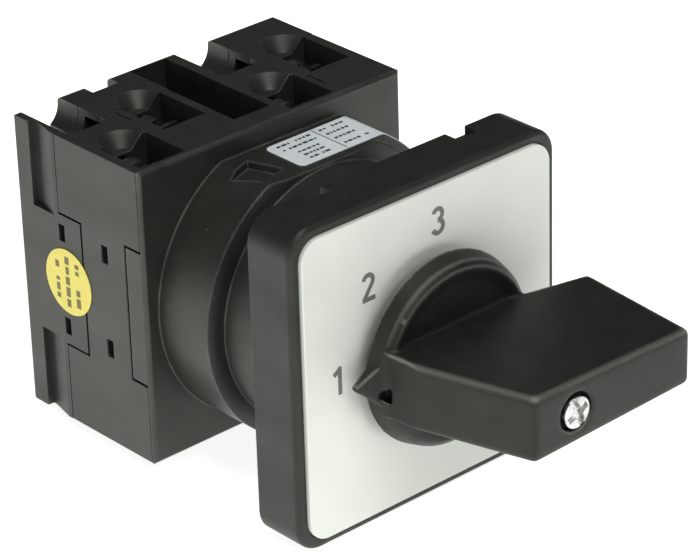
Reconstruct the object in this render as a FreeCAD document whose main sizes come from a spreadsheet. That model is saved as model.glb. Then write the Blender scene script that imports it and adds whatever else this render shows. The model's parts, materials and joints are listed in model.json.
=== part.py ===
"""Panel-mounted rotary cam switch with three positions, in millimetres.

The shaft runs along Y through the origin. The user's side is -Y, the panel's front lies at Y = 0 on
the rear face of the front frame, and the contact blocks stand behind the panel at +Y. +Z is up.
At rest the handle points at position 1, towards -X.
"""

import FreeCAD, Part
import math
import os
import re

import Sketcher

SIZES = {
    # front frame and dial plate
    "frame_side": 48.0, "frame_depth": 8.2, "frame_corner": 4.0, "frame_edge": 0.9,
    "rim_width": 1.5, "plate_corner": 3.3, "plate_thick": 1.1, "plate_gap": 0.08, "plate_edge": 0.2,
    "plate_proud": 0.6,
    "frame_wall": 2.5, "gasket_width": 2.6, "gasket_thick": 1.5, "cavity_depth": 5.2,
    "notch_near": 11.3, "notch_far": 14.9, "notch_depth": 2.5, "notch_bite": 1.3,
    "sleeve_radius": 7.5, "sleeve_end": 13.4, "seal_radius": 7.3, "seal_thick": 1.5,
    "sleeve_ring": 1.2, "plate_bore": 6.4,
    # gaps between pieces, and how far a blank is buried in its neighbour or a tool passes a face
    "film_gap": 0.01, "hair_gap": 0.02, "running_gap": 0.05, "loose_gap": 0.1, "clip_gap": 0.3,
    "bury": 0.2, "overlap_deep": 0.5, "overrun": 1.0,
    # screws through the panel
    "fixing_pitch": 10.5, "fixing_radius": 1.75, "fixing_head": 3.2, "fixing_head_high": 1.9,
    "pillar_radius": 2.8, "pillar_wall": 1.0, "fixing_end": 13.9,
    # detent housing behind the panel
    "boss_radius": 21.6, "boss_front": 12.2, "boss_step": 20.1, "boss_lip": 11.6,
    "cup_radius": 19.0, "cup_wall": 1.2, "cup_front": 6.0, "flat_height": 19.4,
    "label_pad_start": -3.3, "label_pad_radius": 22.8, "label_pad_front": 12.6, "label_pad_low": 12.0,
    "recess_left": -11.05, "recess_rear": 18.4, "recess_long": 5.3, "recess_wide": 4.6, "recess_deep": 1.2,
    "recess_turn": -70.0,
    "cavity_radius": 18.5, "cavity_front": 14.5, "cover_front": 22.3, "cover_seam": 23.0,
    "cover_edge": 0.6, "tongue_half": 10.1, "tongue_end": 26.2, "tongue_thick": 1.0,
    # contact housing and rear cover
    "body_half_wide": 23.7, "body_half_high": 22.35, "body_seam": 40.75, "body_rear": 50.0,
    "rear_tab_start": 36.1, "rear_edge": 0.8, "joint_gap": 0.06,
    "middle_wall": 31.3, "wall_thick": 1.0, "rotor_bore": 9.0, "chamber_inner": 10.6,
    "chamber_outer": 21.7, "chamber_high": 12.4, "pocket_floor": 13.6,
    "front_level": 27.6, "rear_level": 36.4,
    "outer_pocket": -22.2, "outer_wide": 7.8, "inner_pocket": -12.0, "inner_wide": 7.3,
    "group_shift": 26.8, "front_pocket_start": 23.7, "front_pocket_end": 32.3,
    "rear_pocket_start": 31.0, "rear_pocket_end": 40.75,
    "well_left": -3.3, "well_right": 3.25, "well_start": 26.6, "well_end": 49.5, "well_floor": 15.0,
    "channel_radius": 3.45, "channel_start": 38.8, "channel_high": 21.45, "channel_left": -19.15,
    "channel_shift": 27.45, "ring_start": 45.3, "ring_end": 45.45, "ring_deep": 0.2,
    "nook_start": 39.5, "nook_end": 43.9, "nook_low": 18.6, "nook_high": 21.3, "nook_deep": 1.2,
    "funnel_radius": 3.3, "funnel_deep": 2.0,
    "groove_start": 41.6, "groove_end": 46.4, "groove_floor_start": 45.7, "groove_floor_end": 46.3,
    "groove_deep": 0.95,
    "slot_front": 30.95, "slot_rear": 40.3, "slot_wide": 1.3, "slot_high": 2.65, "slot_centre": 7.3,
    "slot_deep": 1.2,
    "rear_notch": 2.3, "rear_notch_deep": 1.6, "rear_notch_long": 2.6, "funnel_throat": 1.32,
    "slit_left": -13.3, "slit_right": 13.6, "slit_half": 0.15, "slit_deep": 0.6, "slit_rear_end": 40.4,
    "slit_front_start": 26.7, "slit_front_end": 30.9,
    "rear_slit_left": 15.5, "rear_slit_right": 22.4, "rear_slit_start": 49.2, "rear_slit_end": 49.6,
    "plunger_way_start": 4.0, "hub_room_end": 43.4,
    "tie_centre": 11.5, "tie_radius": 1.5, "tie_head": 2.6, "tie_head_high": 2.0, "post_radius": 2.8,
    "tie_thread_front": 15.9,
    # printed label and dated disc
    "label_thick": 0.15, "label_left": -2.9, "label_front": 13.05, "label_rear": 21.0, "label_low": 14.5,
    "label_fold": 1.6, "label_fold_inner": 1.61, "label_fold_outer": 1.76,
    "disc_radius": 5.0, "disc_centre": 39.4, "disc_thick": 0.12,
    # handle
    "knob_radius": 14.0, "knob_front_radius": 13.3, "knob_rear": 10.6, "knob_shoulder": 13.4,
    "knob_front": 14.3, "dish_rim": 12.3, "dish_radius": 10.6, "dish_floor": 13.7,
    "hub_radius": 6.0, "hub_end": 1.0, "grip_half": 4.8, "grip_front": 36.0, "grip_round": 0.9,
    "grip_root_left": -12.7, "grip_root": 12.6, "grip_left": -12.3, "grip_left_depth": 19.5,
    "grip_tip_left": -7.5, "grip_tip_right": 21.4, "grip_right": 22.4, "grip_right_depth": 16.4,
    "grip_rear_right": 11.7,
    "grip_knee_right": 12.0, "grip_knee_depth": 14.0,
    "pointer_tip": -16.3, "pointer_base": -12.9, "pointer_half": 3.1, "pointer_blunt": 0.3,
    "pointer_front": 13.3, "pointer_nose": 11.9, "pointer_rear": 10.7,
    "nick_left": -13.5, "nick_middle": -1.7, "nick_top_left": -12.2, "nick_top": 0.0, "nick_right": -11.6,
    "nick_right_top": -0.9, "nick_low": -3.4, "nick_floor": 12.4,
    "screw_hole": 2.8, "screw_seat": 34.3, "handle_screw_radius": 1.5, "handle_screw_head": 2.6,
    "handle_screw_high": 2.2, "handle_screw_end": 21.0, "screw_clear": 0.15,
    "drive_reach": 2.0, "handle_drive_reach": 1.7, "terminal_drive_reach": 1.9, "drive_wide": 0.75,
    "drive_deep": 1.3,
    # shaft, stop and detent
    "shaft_side": 5.9, "socket_side": 6.0, "shaft_front": 27.5, "shaft_rear": 49.2,
    "journal_radius": 2.9, "journal_start": 47.2, "shaft_bevel": 0.5,
    "stop_front": 14.6, "stop_thick": 1.7, "stop_disc": 6.5, "stop_lug": 8.4, "stop_bore": 8.7,
    "lug_half_angle": 14.0, "stop_half_angle": 12.0, "stop_margin": 0.7, "turn_range": 90.0,
    "star_front": 16.7, "star_thick": 4.9, "star_radius": 8.0, "star_steps": 8.0,
    "roller_radius": 1.5, "roller_centre": 9.6, "detent_stroke": 1.2, "slider_inner": 9.4,
    "slider_outer": 14.0, "slider_half": 3.0, "guide_thick": 1.5, "detent_spring_radius": 1.8,
    "rib_inner": 10.0, "rib_outer": 18.1, "spring_seat": 18.2, "slider_inset": 0.3, "roller_inset": 0.5,
    "partition_front": 21.9, "rotor_hub": 5.0,
    # cams and contacts
    "cam_hub_front": 22.0, "cam_hub_rear": 43.15, "hub_step": 0.15, "cam_low": 6.6, "contact_stroke": 1.8,
    "cam_thick": 3.4, "cam_gap": 0.05, "nose_radius": 1.0,
    "nose_reach": 1.6,
    "plunger_half": 2.2, "plunger_half_thick": 1.5, "plunger_outer": 13.0, "stem_radius": 0.8,
    "stem_end": 15.6,
    "bridge_thick": 1.0, "bridge_half_high": 9.4, "contact_half": 2.0, "tip_radius": 1.4,
    "tip_thick": 0.6, "tip_centre": 7.6, "touch_gap": 0.03, "fixed_thick": 1.0, "fixed_start": 6.0,
    "strip_rise": 2.2, "heel_drop": 0.9, "plate_inset": 0.4, "shank_proud": 0.3,
    "plate_front_step": 3.4, "terminal_top": 19.4, "spring_wire": 0.22, "contact_spring_radius": 1.7,
    "spring_turns": 5.0, "terminal_screw_in": 2.9, "terminal_screw_high": 18.0,
    "terminal_radius": 1.6, "terminal_head": 2.6, "terminal_head_high": 2.1, "clamp_thick": 1.0,
    "clamp_step": 0.2, "clamp_inner": 2.6, "clamp_outer": 3.6, "driver_bore": 2.1,
    "clip_start": 44.0, "clip_thick": 0.9, "clip_radius": 4.6, "clip_mouth_half": 2.125, "clip_groove": 2.5,
    "clip_room": 5.3,
}

CAM_STEP = 3          # degrees between the points that shape a cam's outline
CAM_OVERRUN = 15      # degrees that a cam's working sector continues past each end of the turn
NOTCH_HALF_ANGLE = 18

doc = FreeCAD.newDocument("cam_switch")


# ---------------------------------------------------------------- spreadsheet and expressions

def make_sheet():
    """Put every driving size in the sheet, one named cell each."""
    sheet = doc.addObject("Spreadsheet::Sheet", "Sizes")
    for row, (name, size) in enumerate(SIZES.items(), start=1):
        sheet.set(f"A{row}", name)
        sheet.set(f"B{row}", str(size))
        sheet.setAlias(f"B{row}", name)
    doc.recompute()
    return sheet


def formula(text):
    """Turn a formula written with plain size names into one that reads the sheet."""
    def named(match):
        return "Sizes." + match.group(0) if match.group(0) in SIZES else match.group(0)
    return re.sub(r"[a-z_]+", named, str(text))


def bind(obj, **formulas):
    for prop, text in formulas.items():
        obj.setExpression(prop.replace("__", "."), formula(text))


def at(obj, x="0", y="0", z="0"):
    """Bind where an object stands."""
    for axis, text in (("x", x), ("y", y), ("z", z)):
        obj.setExpression(f"Placement.Base.{axis}", formula(text))


def flip(sign, low, high):
    """A span measured outwards from the axis, taken to the side that sign names."""
    return (low, high) if sign > 0 else (f"-({high})", f"-({low})")


# ---------------------------------------------------------------- primitives and booleans

def block(name, x, y, z):
    """A box between low and high limits on each axis."""
    box = doc.addObject("Part::Box", name)
    bind(box, Length=f"({x[1]}) - ({x[0]})", Width=f"({y[1]}) - ({y[0]})", Height=f"({z[1]}) - ({z[0]})")
    at(box, x[0], y[0], z[0])
    return box


def rod(name, radius, y, x="0", z="0"):
    """A cylinder along the shaft's direction."""
    cylinder = doc.addObject("Part::Cylinder", name)
    cylinder.Placement = FreeCAD.Placement(FreeCAD.Vector(), FreeCAD.Rotation(FreeCAD.Vector(1, 0, 0), -90))
    bind(cylinder, Radius=radius, Height=f"({y[1]}) - ({y[0]})")
    at(cylinder, x, y[0], z)
    return cylinder


def cross_rod(name, radius, x, y, z="0"):
    """A cylinder along X, for pieces that slide towards the shaft."""
    cylinder = doc.addObject("Part::Cylinder", name)
    cylinder.Placement = FreeCAD.Placement(FreeCAD.Vector(), FreeCAD.Rotation(FreeCAD.Vector(0, 1, 0), 90))
    bind(cylinder, Radius=radius, Height=f"({x[1]}) - ({x[0]})")
    at(cylinder, x[0], y, z)
    return cylinder


def cone(name, rear_radius, front_radius, y, x="0", z="0"):
    solid = doc.addObject("Part::Cone", name)
    solid.Placement = FreeCAD.Placement(FreeCAD.Vector(), FreeCAD.Rotation(FreeCAD.Vector(1, 0, 0), -90))
    bind(solid, Radius1=front_radius, Radius2=rear_radius, Height=f"({y[1]}) - ({y[0]})")
    at(solid, x, y[0], z)
    return solid


def funnel(name, x, y):
    """A shallow upright cone sunk in the top face, which leads a wire into its pocket."""
    solid = doc.addObject("Part::Cone", name)
    bind(solid, Radius1="funnel_throat", Radius2="funnel_radius", Height="funnel_deep")
    at(solid, x, y, "body_half_high - funnel_deep")
    return solid


def union(label, pieces):
    joined = doc.addObject("Part::MultiFuse", label)
    joined.Shapes = pieces
    joined.Refine = True
    return joined


def group(label, pieces):
    """Separate solids that share one node."""
    together = doc.addObject("Part::Compound", label)
    together.Links = pieces
    return together


def difference(label, base, tools):
    result = doc.addObject("Part::Cut", label)
    result.Base = base
    result.Tool = tools[0] if len(tools) == 1 else union(label + "_tools", tools)
    result.Refine = True
    return result


def common(name, pieces):
    shared = doc.addObject("Part::MultiCommon", name)
    shared.Shapes = pieces
    return shared


def mirrored(piece, name, normal):
    """The same piece on the other side of the plane through the origin with this normal."""
    copy = doc.addObject("Part::Mirroring", name)
    copy.Source = piece
    copy.Normal = normal
    return copy


def rounded(label, base, radius, wanted):
    """Fillet the edges of base that the test picks."""
    doc.recompute()
    soft = doc.addObject("Part::Fillet", label)
    soft.Base = base
    value = SIZES[radius]
    soft.Edges = [(i, value, value) for i, edge in enumerate(base.Shape.Edges, start=1) if wanted(edge)]
    return soft


def along(edge, axis):
    """Is this a straight edge along the axis (0 for X, 1 for Y, 2 for Z)?"""
    if edge.Curve.TypeId != "Part::GeomLine":
        return False
    return abs(abs(edge.tangentAt(edge.FirstParameter)[axis]) - 1) < 1e-6


def lies_at(edge, axis, value):
    """Is the whole edge in the plane where this coordinate has this value?"""
    box = edge.BoundBox
    low, high = ((box.XMin, box.XMax), (box.YMin, box.YMax), (box.ZMin, box.ZMax))[axis]
    return abs(low - value) < 1e-4 and abs(high - value) < 1e-4


def outermost(edge, half):
    """Does the edge run outside the square whose half side this is?"""
    box = edge.BoundBox
    return max(abs(box.XMin), abs(box.XMax), abs(box.ZMin), abs(box.ZMax)) > half + 0.1


# ---------------------------------------------------------------- sketches and bodies

def new_body(label):
    return doc.addObject("PartDesign::Body", label)


def new_sketch(body, name, role, offset="0"):
    """A sketch on one of the body's own origin planes, moved along the plane's normal."""
    sketch = body.newObject("Sketcher::SketchObject", name)
    plane = [item for item in body.Origin.OriginFeatures if item.Role == role][0]
    sketch.AttachmentSupport = [(plane, "")]
    sketch.MapMode = "FlatFace"
    sketch.setExpression("AttachmentOffset.Base.z", formula(offset))
    return sketch


def polygon(sketch, points):
    """A closed outline whose corners are bound to formulas of x and y."""
    first = sketch.GeometryCount
    count = len(points)
    turns = [2 * math.pi * i / count for i in range(count)]
    rough = [FreeCAD.Vector(math.cos(turn), math.sin(turn), 0) for turn in turns]
    for i in range(count):
        sketch.addGeometry(Part.LineSegment(rough[i], rough[(i + 1) % count]), False)
    for i in range(count):
        sketch.addConstraint(Sketcher.Constraint("Coincident", first + i, 2, first + (i + 1) % count, 1))
    for i, (x, y) in enumerate(points):
        for kind, text, start in (("DistanceX", x, rough[i].x), ("DistanceY", y, rough[i].y)):
            row = sketch.addConstraint(Sketcher.Constraint(kind, -1, 1, first + i, 1, start))
            sketch.setExpression(f"Constraints[{row}]", formula(text))


def rectangle(sketch, x, y):
    polygon(sketch, [(x[0], y[0]), (x[1], y[0]), (x[1], y[1]), (x[0], y[1])])


def square(sketch, half):
    rectangle(sketch, (f"-({half})", half), (f"-({half})", half))


def circle(sketch, radius, x="0", y="0"):
    index = sketch.addGeometry(Part.Circle(FreeCAD.Vector(), FreeCAD.Vector(0, 0, 1), 1), False)
    for kind, text in (("DistanceX", x), ("DistanceY", y)):
        row = sketch.addConstraint(Sketcher.Constraint(kind, -1, 1, index, 3, 0.5))
        sketch.setExpression(f"Constraints[{row}]", formula(text))
    row = sketch.addConstraint(Sketcher.Constraint("Radius", index, 1.0))
    sketch.setExpression(f"Constraints[{row}]", formula(radius))


def pad(body, sketch, length, backwards=False, midplane=False):
    feature = body.newObject("PartDesign::Pad", sketch.Name + "_pad")
    feature.Profile = sketch
    feature.setExpression("Length", formula(length))
    feature.Reversed = backwards
    feature.Midplane = midplane
    sketch.Visibility = False
    return feature


def pocket(body, sketch, length, backwards=False):
    """Cut the sketch into the body, and make sure that it did cut."""
    doc.recompute()
    before = body.Shape.Volume
    feature = body.newObject("PartDesign::Pocket", sketch.Name + "_pocket")
    feature.Profile = sketch
    feature.setExpression("Length", formula(length))
    feature.Reversed = backwards
    doc.recompute()
    if body.Shape.Volume >= before - 1e-6:
        raise ValueError(f"{sketch.Name} removes nothing")
    return feature


def soften(body, radius, wanted):
    """Fillet the picked edges of the body's newest feature."""
    doc.recompute()
    tip = body.Tip
    names = [f"Edge{i}" for i, edge in enumerate(tip.Shape.Edges, start=1) if wanted(edge)]
    feature = body.newObject("PartDesign::Fillet", body.Name + f"_round{len(body.Group)}")
    feature.Base = (tip, names)
    bind(feature, Radius=radius)
    doc.recompute()
    return feature


# ---------------------------------------------------------------- front of the panel

def make_front_frame():
    """Square frame: a recess holds the dial plate, a sleeve behind it carries the handle's hub."""
    body = new_body("front_frame")
    outline = new_sketch(body, "frame_outline", "XZ_Plane")
    square(outline, "frame_side / 2")
    pad(body, outline, "frame_depth")
    soften(body, "frame_corner", lambda edge: along(edge, 1))
    recess = new_sketch(body, "plate_recess", "XZ_Plane", "frame_depth")
    square(recess, "frame_side / 2 - rim_width")
    pocket(body, recess, "plate_thick")
    front = -SIZES["frame_depth"]
    half = SIZES["frame_side"] / 2 - SIZES["rim_width"]
    soften(body, "plate_corner", lambda edge: along(edge, 1) and abs(abs(edge.BoundBox.XMin) - half) < 0.01
           and abs(abs(edge.BoundBox.ZMin) - half) < 0.01)
    soften(body, "frame_edge", lambda edge: lies_at(edge, 1, front) and outermost(edge, half))

    ledge = new_sketch(body, "gasket_ledge", "XZ_Plane")
    square(ledge, "frame_side / 2 - frame_wall")
    pocket(body, ledge, "gasket_thick", backwards=True)
    hollow = new_sketch(body, "frame_hollow", "XZ_Plane", "gasket_thick")
    square(hollow, "frame_side / 2 - frame_wall - gasket_width")
    circle(hollow, "sleeve_radius + sleeve_ring")
    for x, z in fixing_places():
        circle(hollow, "fixing_head + pillar_wall", x, z)
    pocket(body, hollow, "cavity_depth - gasket_thick", backwards=True)
    pillars = new_sketch(body, "pillar_ends", "XZ_Plane", "gasket_thick")
    circle(pillars, "sleeve_radius + sleeve_ring")
    pad(body, pillars, "gasket_thick", backwards=True)
    for number, (x, z) in enumerate(fixing_places(), start=1):
        pillar = new_sketch(body, f"frame_pillar{number}", "XZ_Plane", "gasket_thick")
        circle(pillar, "fixing_head + pillar_wall", x, z)
        pad(body, pillar, "gasket_thick", backwards=True)

    sleeve = new_sketch(body, "sleeve", "XZ_Plane")
    circle(sleeve, "sleeve_radius")
    pad(body, sleeve, "sleeve_end", backwards=True)
    bore = new_sketch(body, "hub_bore", "XZ_Plane", "frame_depth")
    circle(bore, "hub_radius + running_gap")
    pocket(body, bore, "frame_depth + sleeve_end + overrun")
    seat = new_sketch(body, "seal_seat", "XZ_Plane", "frame_depth - plate_thick")
    circle(seat, "seal_radius")
    pocket(body, seat, "seal_thick")
    for number, (x, z) in enumerate(fixing_places(), start=1):
        hole = new_sketch(body, f"fixing_hole{number}", "XZ_Plane", "frame_depth")
        circle(hole, "fixing_radius + bury", x, z)
        pocket(body, hole, "frame_depth + overrun")
        sink = new_sketch(body, f"fixing_sink{number}", "XZ_Plane", "frame_depth - plate_thick")
        circle(sink, "fixing_head + loose_gap", x, z)
        pocket(body, sink, "fixing_head_high + loose_gap")

    for number, (side, up) in enumerate([(s, u) for s in (-1, 1) for u in (-1, 1)], start=1):
        notch = new_sketch(body, f"rear_notch{number}", "XZ_Plane")
        rectangle(notch, flip(side, "notch_near", "notch_far"),
                  flip(up, "frame_side / 2 - notch_bite", "frame_side / 2 + overrun"))
        pocket(body, notch, "notch_depth", backwards=True)
    return body


def fixing_places():
    return [(f"{sx} * fixing_pitch", f"{sz} * fixing_pitch") for sx in (-1, 1) for sz in (-1, 1)]


def make_dial_plate():
    """Pale plate that shows the positions and hides the fixing screws."""
    body = new_body("dial_plate")
    outline = new_sketch(body, "plate_outline", "XZ_Plane", "frame_depth - plate_thick")
    square(outline, "frame_side / 2 - rim_width - plate_gap")
    pad(body, outline, "plate_thick + plate_proud")
    soften(body, "plate_corner", lambda edge: along(edge, 1))
    front = -SIZES["frame_depth"] - SIZES["plate_proud"]
    soften(body, "plate_edge", lambda edge: lies_at(edge, 1, front))
    bore = new_sketch(body, "plate_bore", "XZ_Plane", "frame_depth + plate_proud")
    circle(bore, "plate_bore")
    pocket(body, bore, "plate_thick + plate_proud + overrun")
    return body


def make_panel_gasket():
    """Rubber frame between the front frame and the panel."""
    body = new_body("panel_gasket")
    ring = new_sketch(body, "gasket_ring", "XZ_Plane")
    square(ring, "frame_side / 2 - frame_wall - loose_gap")
    square(ring, "frame_side / 2 - frame_wall - gasket_width + loose_gap")
    pad(body, ring, "gasket_thick")
    return body


def make_shaft_seal():
    y = ("-frame_depth + plate_thick + hair_gap", "-frame_depth + plate_thick + seal_thick - running_gap")
    ring = rod("seal_outside", "seal_radius - hair_gap", y)
    hole = rod("seal_hole", "hub_radius + running_gap", ("-frame_depth", "0"))
    return difference("shaft_seal", ring, [hole])


def make_fixing_screws():
    """Four screws that clamp the panel between the frame and the detent housing."""
    screws = []
    head = ("-(frame_depth - plate_thick - running_gap)", "-(frame_depth - plate_thick - fixing_head_high)")
    for number, (x, z) in enumerate(fixing_places(), start=1):
        shank = rod(f"fixing_shank{number}", "fixing_radius", (head[0], "fixing_end"), x, z)
        cap = rod(f"fixing_cap{number}", "fixing_head", head, x, z)
        screws.append(cross_drive(f"fixing_screw{number}", [shank, cap], x, head[0], z, 1))
    return group("fixing_screws", screws)


def cross_drive(name, pieces, x, face, z, inwards, reach="drive_reach"):
    """Join a screw's pieces and cut a cross recess in its head, inwards being +1 for +Y."""
    y = (f"({face}) - film_gap", f"({face}) + drive_deep") if inwards > 0 else (
        f"({face}) - drive_deep", f"({face}) + film_gap")
    half = "drive_wide / 2"
    flat = block(name + "_drive_x", (f"{x} - {reach}", f"{x} + {reach}"), y,
                 (f"{z} - {half}", f"{z} + {half}"))
    tall = block(name + "_drive_z", (f"{x} - {half}", f"{x} + {half}"), y,
                 (f"{z} - {reach}", f"{z} + {reach}"))
    return difference(name, union(name + "_blank", pieces), [flat, tall])


# ---------------------------------------------------------------- detent housing

def make_detent_housing():
    """Round boss with a cup towards the panel and a square cover towards the contacts."""
    boss = rod("boss", "boss_radius", ("boss_front", "cover_seam - bury"))
    step = cone("boss_step_ring", "boss_radius", "boss_step", ("boss_lip", "boss_front"))
    cup = rod("cup", "cup_radius", ("cup_front", "boss_front"))
    flat = block("boss_flat", ("-boss_radius", "boss_radius"), ("0", "cover_front"),
                 ("flat_height", "boss_radius + overrun"))
    pad_soft = label_pad("label_pad", "label_pad_radius", ("label_pad_front", "cover_front + bury"),
                         "label_pad_start", ("label_pad_low", "flat_height"), "label_fold")
    cover = block("cover_plate", ("-body_half_wide", "body_half_wide"), ("cover_front", "cover_seam"),
                  ("-body_half_high", "body_half_high"))
    tongues = [block(f"front_tongue{number}", flip(side, "body_half_wide - tongue_thick", "body_half_wide"),
                     ("cover_front + cover_edge", "tongue_end"), ("-tongue_half", "tongue_half"))
               for number, side in enumerate((-1, 1), start=1)]
    front = SIZES["cover_front"]
    outside = rounded("cover_soft", cover, "cover_edge",
                      lambda edge: lies_at(edge, 1, front) and not along(edge, 1))
    recess = block("boss_recess", ("0", "recess_long"), ("0", "recess_wide"),
                   ("flat_height - recess_deep", "boss_radius"))
    recess.Placement.Rotation = FreeCAD.Rotation(FreeCAD.Vector(0, 0, 1), SIZES["recess_turn"])
    at(recess, "recess_left", "recess_rear", "flat_height - recess_deep")
    turned = difference("boss_turned", union("boss_blank", [boss, step, cup]), [flat, recess])
    shell = union("detent_shell", [turned, pad_soft, outside] + tongues)

    inside = [
        rod("cup_hollow", "cup_radius - cup_wall", ("cup_front - overrun", "boss_front - bury")),
        rod("sleeve_socket", "sleeve_radius + plate_gap", ("cup_front", "cavity_front + loose_gap")),
        rod("detent_cavity", "cavity_radius", ("cavity_front", "cover_seam + overrun")),
    ]
    ribs = []
    for side in (-1, 1):
        for up in (-1, 1):
            x = flip(side, "rib_inner", "rib_outer")
            z = flip(up, "slider_half + loose_gap", "slider_half + loose_gap + guide_thick")
            ribs.append(block(f"guide_rib{len(ribs) + 1}", x,
                              ("cavity_front - bury", "partition_front - loose_gap"), z))
    posts = [rod(f"tie_post{number}", "post_radius",
                 ("cavity_front - bury", "partition_front - running_gap"), "0",
                 f"{up} * tie_centre") for number, up in enumerate((-1, 1), start=1)]
    pillars = [rod(f"boss_pillar{number}", "pillar_radius", ("cup_front + bury", "cavity_front"), x, z)
               for number, (x, z) in enumerate(fixing_places(), start=1)]
    hollow = difference("detent_hollow", shell, inside)
    whole = union("detent_filled", [hollow] + ribs + posts + pillars)
    threads = [rod(f"fixing_thread{number}", "fixing_radius + hair_gap", ("cup_front", "fixing_end + bury"),
                   x, z)
               for number, (x, z) in enumerate(fixing_places(), start=1)]
    threads += [rod(f"tie_thread{number}", "tie_radius + hair_gap", ("tie_thread_front", "cover_seam"), "0",
                    f"{up} * tie_centre") for number, up in enumerate((-1, 1), start=1)]
    return difference("detent_housing", whole, threads)


def label_pad(name, radius, y, left, z, fold):
    """Flat-topped raised part of the boss whose top edge folds over to the round side."""
    drum = rod(name + "_drum", radius, y)
    window = block(name + "_window", (left, "body_half_wide"), y, z)
    doc.recompute()
    top = window.Shape.BoundBox.ZMax
    return rounded(name + "_folded", common(name, [drum, window]), fold,
                   lambda edge: along(edge, 1) and lies_at(edge, 2, top) and edge.BoundBox.XMin > 0)


def make_rating_label():
    """Thin label that lies on the pad's top and folds down its round side, its text left out."""
    over = label_pad("label_over", "label_pad_radius + film_gap + label_thick",
                     ("label_front", "label_rear"), "label_left",
                     ("label_low", "flat_height + film_gap + label_thick"), "label_fold_outer")
    under = label_pad("label_under", "label_pad_radius + film_gap", ("label_pad_front", "cover_front"),
                      "label_pad_start", ("label_low - overrun", "flat_height + film_gap"),
                      "label_fold_inner")
    left = SIZES["label_left"]
    return rounded("rating_label", difference("label_sheet", over, [under]), "tongue_thick",
                   lambda edge: along(edge, 2) and lies_at(edge, 0, left))


def make_stop_ring():
    """Fixed ring whose two lugs end the handle's turn."""
    y = ("stop_front", "stop_front + stop_thick")
    ring = rod("stop_ring_outside", "cavity_radius - loose_gap", y)
    holes = [rod("stop_ring_hole", "stop_bore", ("0", "body_seam"))]
    holes += [rod(f"stop_post_hole{number}", "post_radius + running_gap", ("0", "body_seam"), "0",
                  f"{up} * tie_centre") for number, up in enumerate((-1, 1), start=1)]
    for side in (-1, 1):
        for up in (-1, 1):
            z = flip(up, "slider_half", "slider_half + loose_gap + guide_thick + loose_gap")
            holes.append(block(f"stop_rib_gap{len(holes)}",
                               flip(side, "rib_inner - loose_gap", "cavity_radius"),
                               ("0", "body_seam"), z))
    swing = SIZES["lug_half_angle"] + SIZES["stop_half_angle"] + SIZES["stop_margin"]
    lugs = [sector(f"stop_lug{number}", SIZES["stop_disc"] + 0.2, SIZES["stop_bore"] + 0.3, angle,
                   SIZES["stop_half_angle"]) for number, angle in
            enumerate((swing, -SIZES["turn_range"] - swing), start=1)]
    return union("stop_ring", [difference("stop_ring_bored", ring, holes)] + lugs)


def sector(name, inner, outer, middle, half):
    """A sector of a flat ring, as thick as the stop, centred at an angle up from +X."""
    low, high = math.radians(middle - half), math.radians(middle + half)
    y = SIZES["stop_front"]

    def spot(radius, angle):
        return FreeCAD.Vector(radius * math.cos(angle), y, radius * math.sin(angle))

    mid = (low + high) / 2
    edges = [
        Part.Arc(spot(inner, low), spot(inner, mid), spot(inner, high)).toShape(),
        Part.makeLine(spot(inner, high), spot(outer, high)),
        Part.Arc(spot(outer, high), spot(outer, mid), spot(outer, low)).toShape(),
        Part.makeLine(spot(outer, low), spot(inner, low)),
    ]
    feature = doc.addObject("Part::Feature", name)
    feature.Shape = Part.Face(Part.Wire(edges)).extrude(FreeCAD.Vector(0, SIZES["stop_thick"], 0))
    return feature


def make_stop_cam():
    """Disc on the shaft whose lug swings between the stop ring's lugs."""
    y = ("stop_front", "stop_front + stop_thick")
    disc = rod("stop_disc_blank", "stop_disc", y)
    lug = sector("stop_cam_lug", SIZES["stop_disc"] - 1, SIZES["stop_lug"], 0, SIZES["lug_half_angle"])
    return difference("stop_cam", union("stop_cam_blank", [disc, lug]), [shaft_hole("stop_cam_hole")])


def shaft_hole(name):
    half = "socket_side / 2"
    return block(name, (f"-{half}", half), ("0", "body_rear"), (f"-{half}", half))


def make_detent_star():
    """Star whose valleys hold the handle at each eighth of a turn."""
    body = new_body("detent_star")
    outline = new_sketch(body, "star_outline", "XZ_Plane", "-star_front")
    circle(outline, "star_radius")
    pad(body, outline, "star_thick", backwards=True)
    hole = new_sketch(body, "star_hole", "XZ_Plane", "-star_front")
    square(hole, "socket_side / 2")
    pocket(body, hole, "star_thick")
    valley = new_sketch(body, "star_valley", "XZ_Plane", "-star_front")
    circle(valley, "roller_radius + loose_gap", "roller_centre - detent_stroke")
    scoop = pocket(body, valley, "star_thick")
    pattern = body.newObject("PartDesign::PolarPattern", "star_valleys")
    pattern.Originals = [scoop]
    axis = [item for item in body.Origin.OriginFeatures if item.Role == "Y_Axis"][0]
    pattern.Axis = (axis, [""])
    pattern.Angle = 360
    bind(pattern, Occurrences="star_steps")
    body.Tip = pattern
    return body


def make_detent_slider(side, word):
    """Carriage that presses its roller on the star; it rests with the roller on a tip."""
    y = ("star_front + slider_inset", "star_front + star_thick - bury")
    carriage = block(f"carriage_{word}", flip(side, "slider_inner", "slider_outer"), y,
                     ("-slider_half", "slider_half"))
    seat = rod(f"roller_seat_{word}", "roller_radius + touch_gap", ("0", "body_seam"),
               f"{side} * roller_centre")
    return difference(f"detent_slider_{word}", carriage, [seat])


def make_detent_roller(side, word):
    y = ("star_front + roller_inset", "star_front + star_thick - roller_inset + loose_gap")
    return rounded(f"detent_roller_{word}",
                   rod(f"roller_blank_{word}", "roller_radius", y, f"{side} * roller_centre"), "plate_edge",
                   lambda edge: edge.Curve.TypeId == "Part::GeomCircle")


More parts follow.
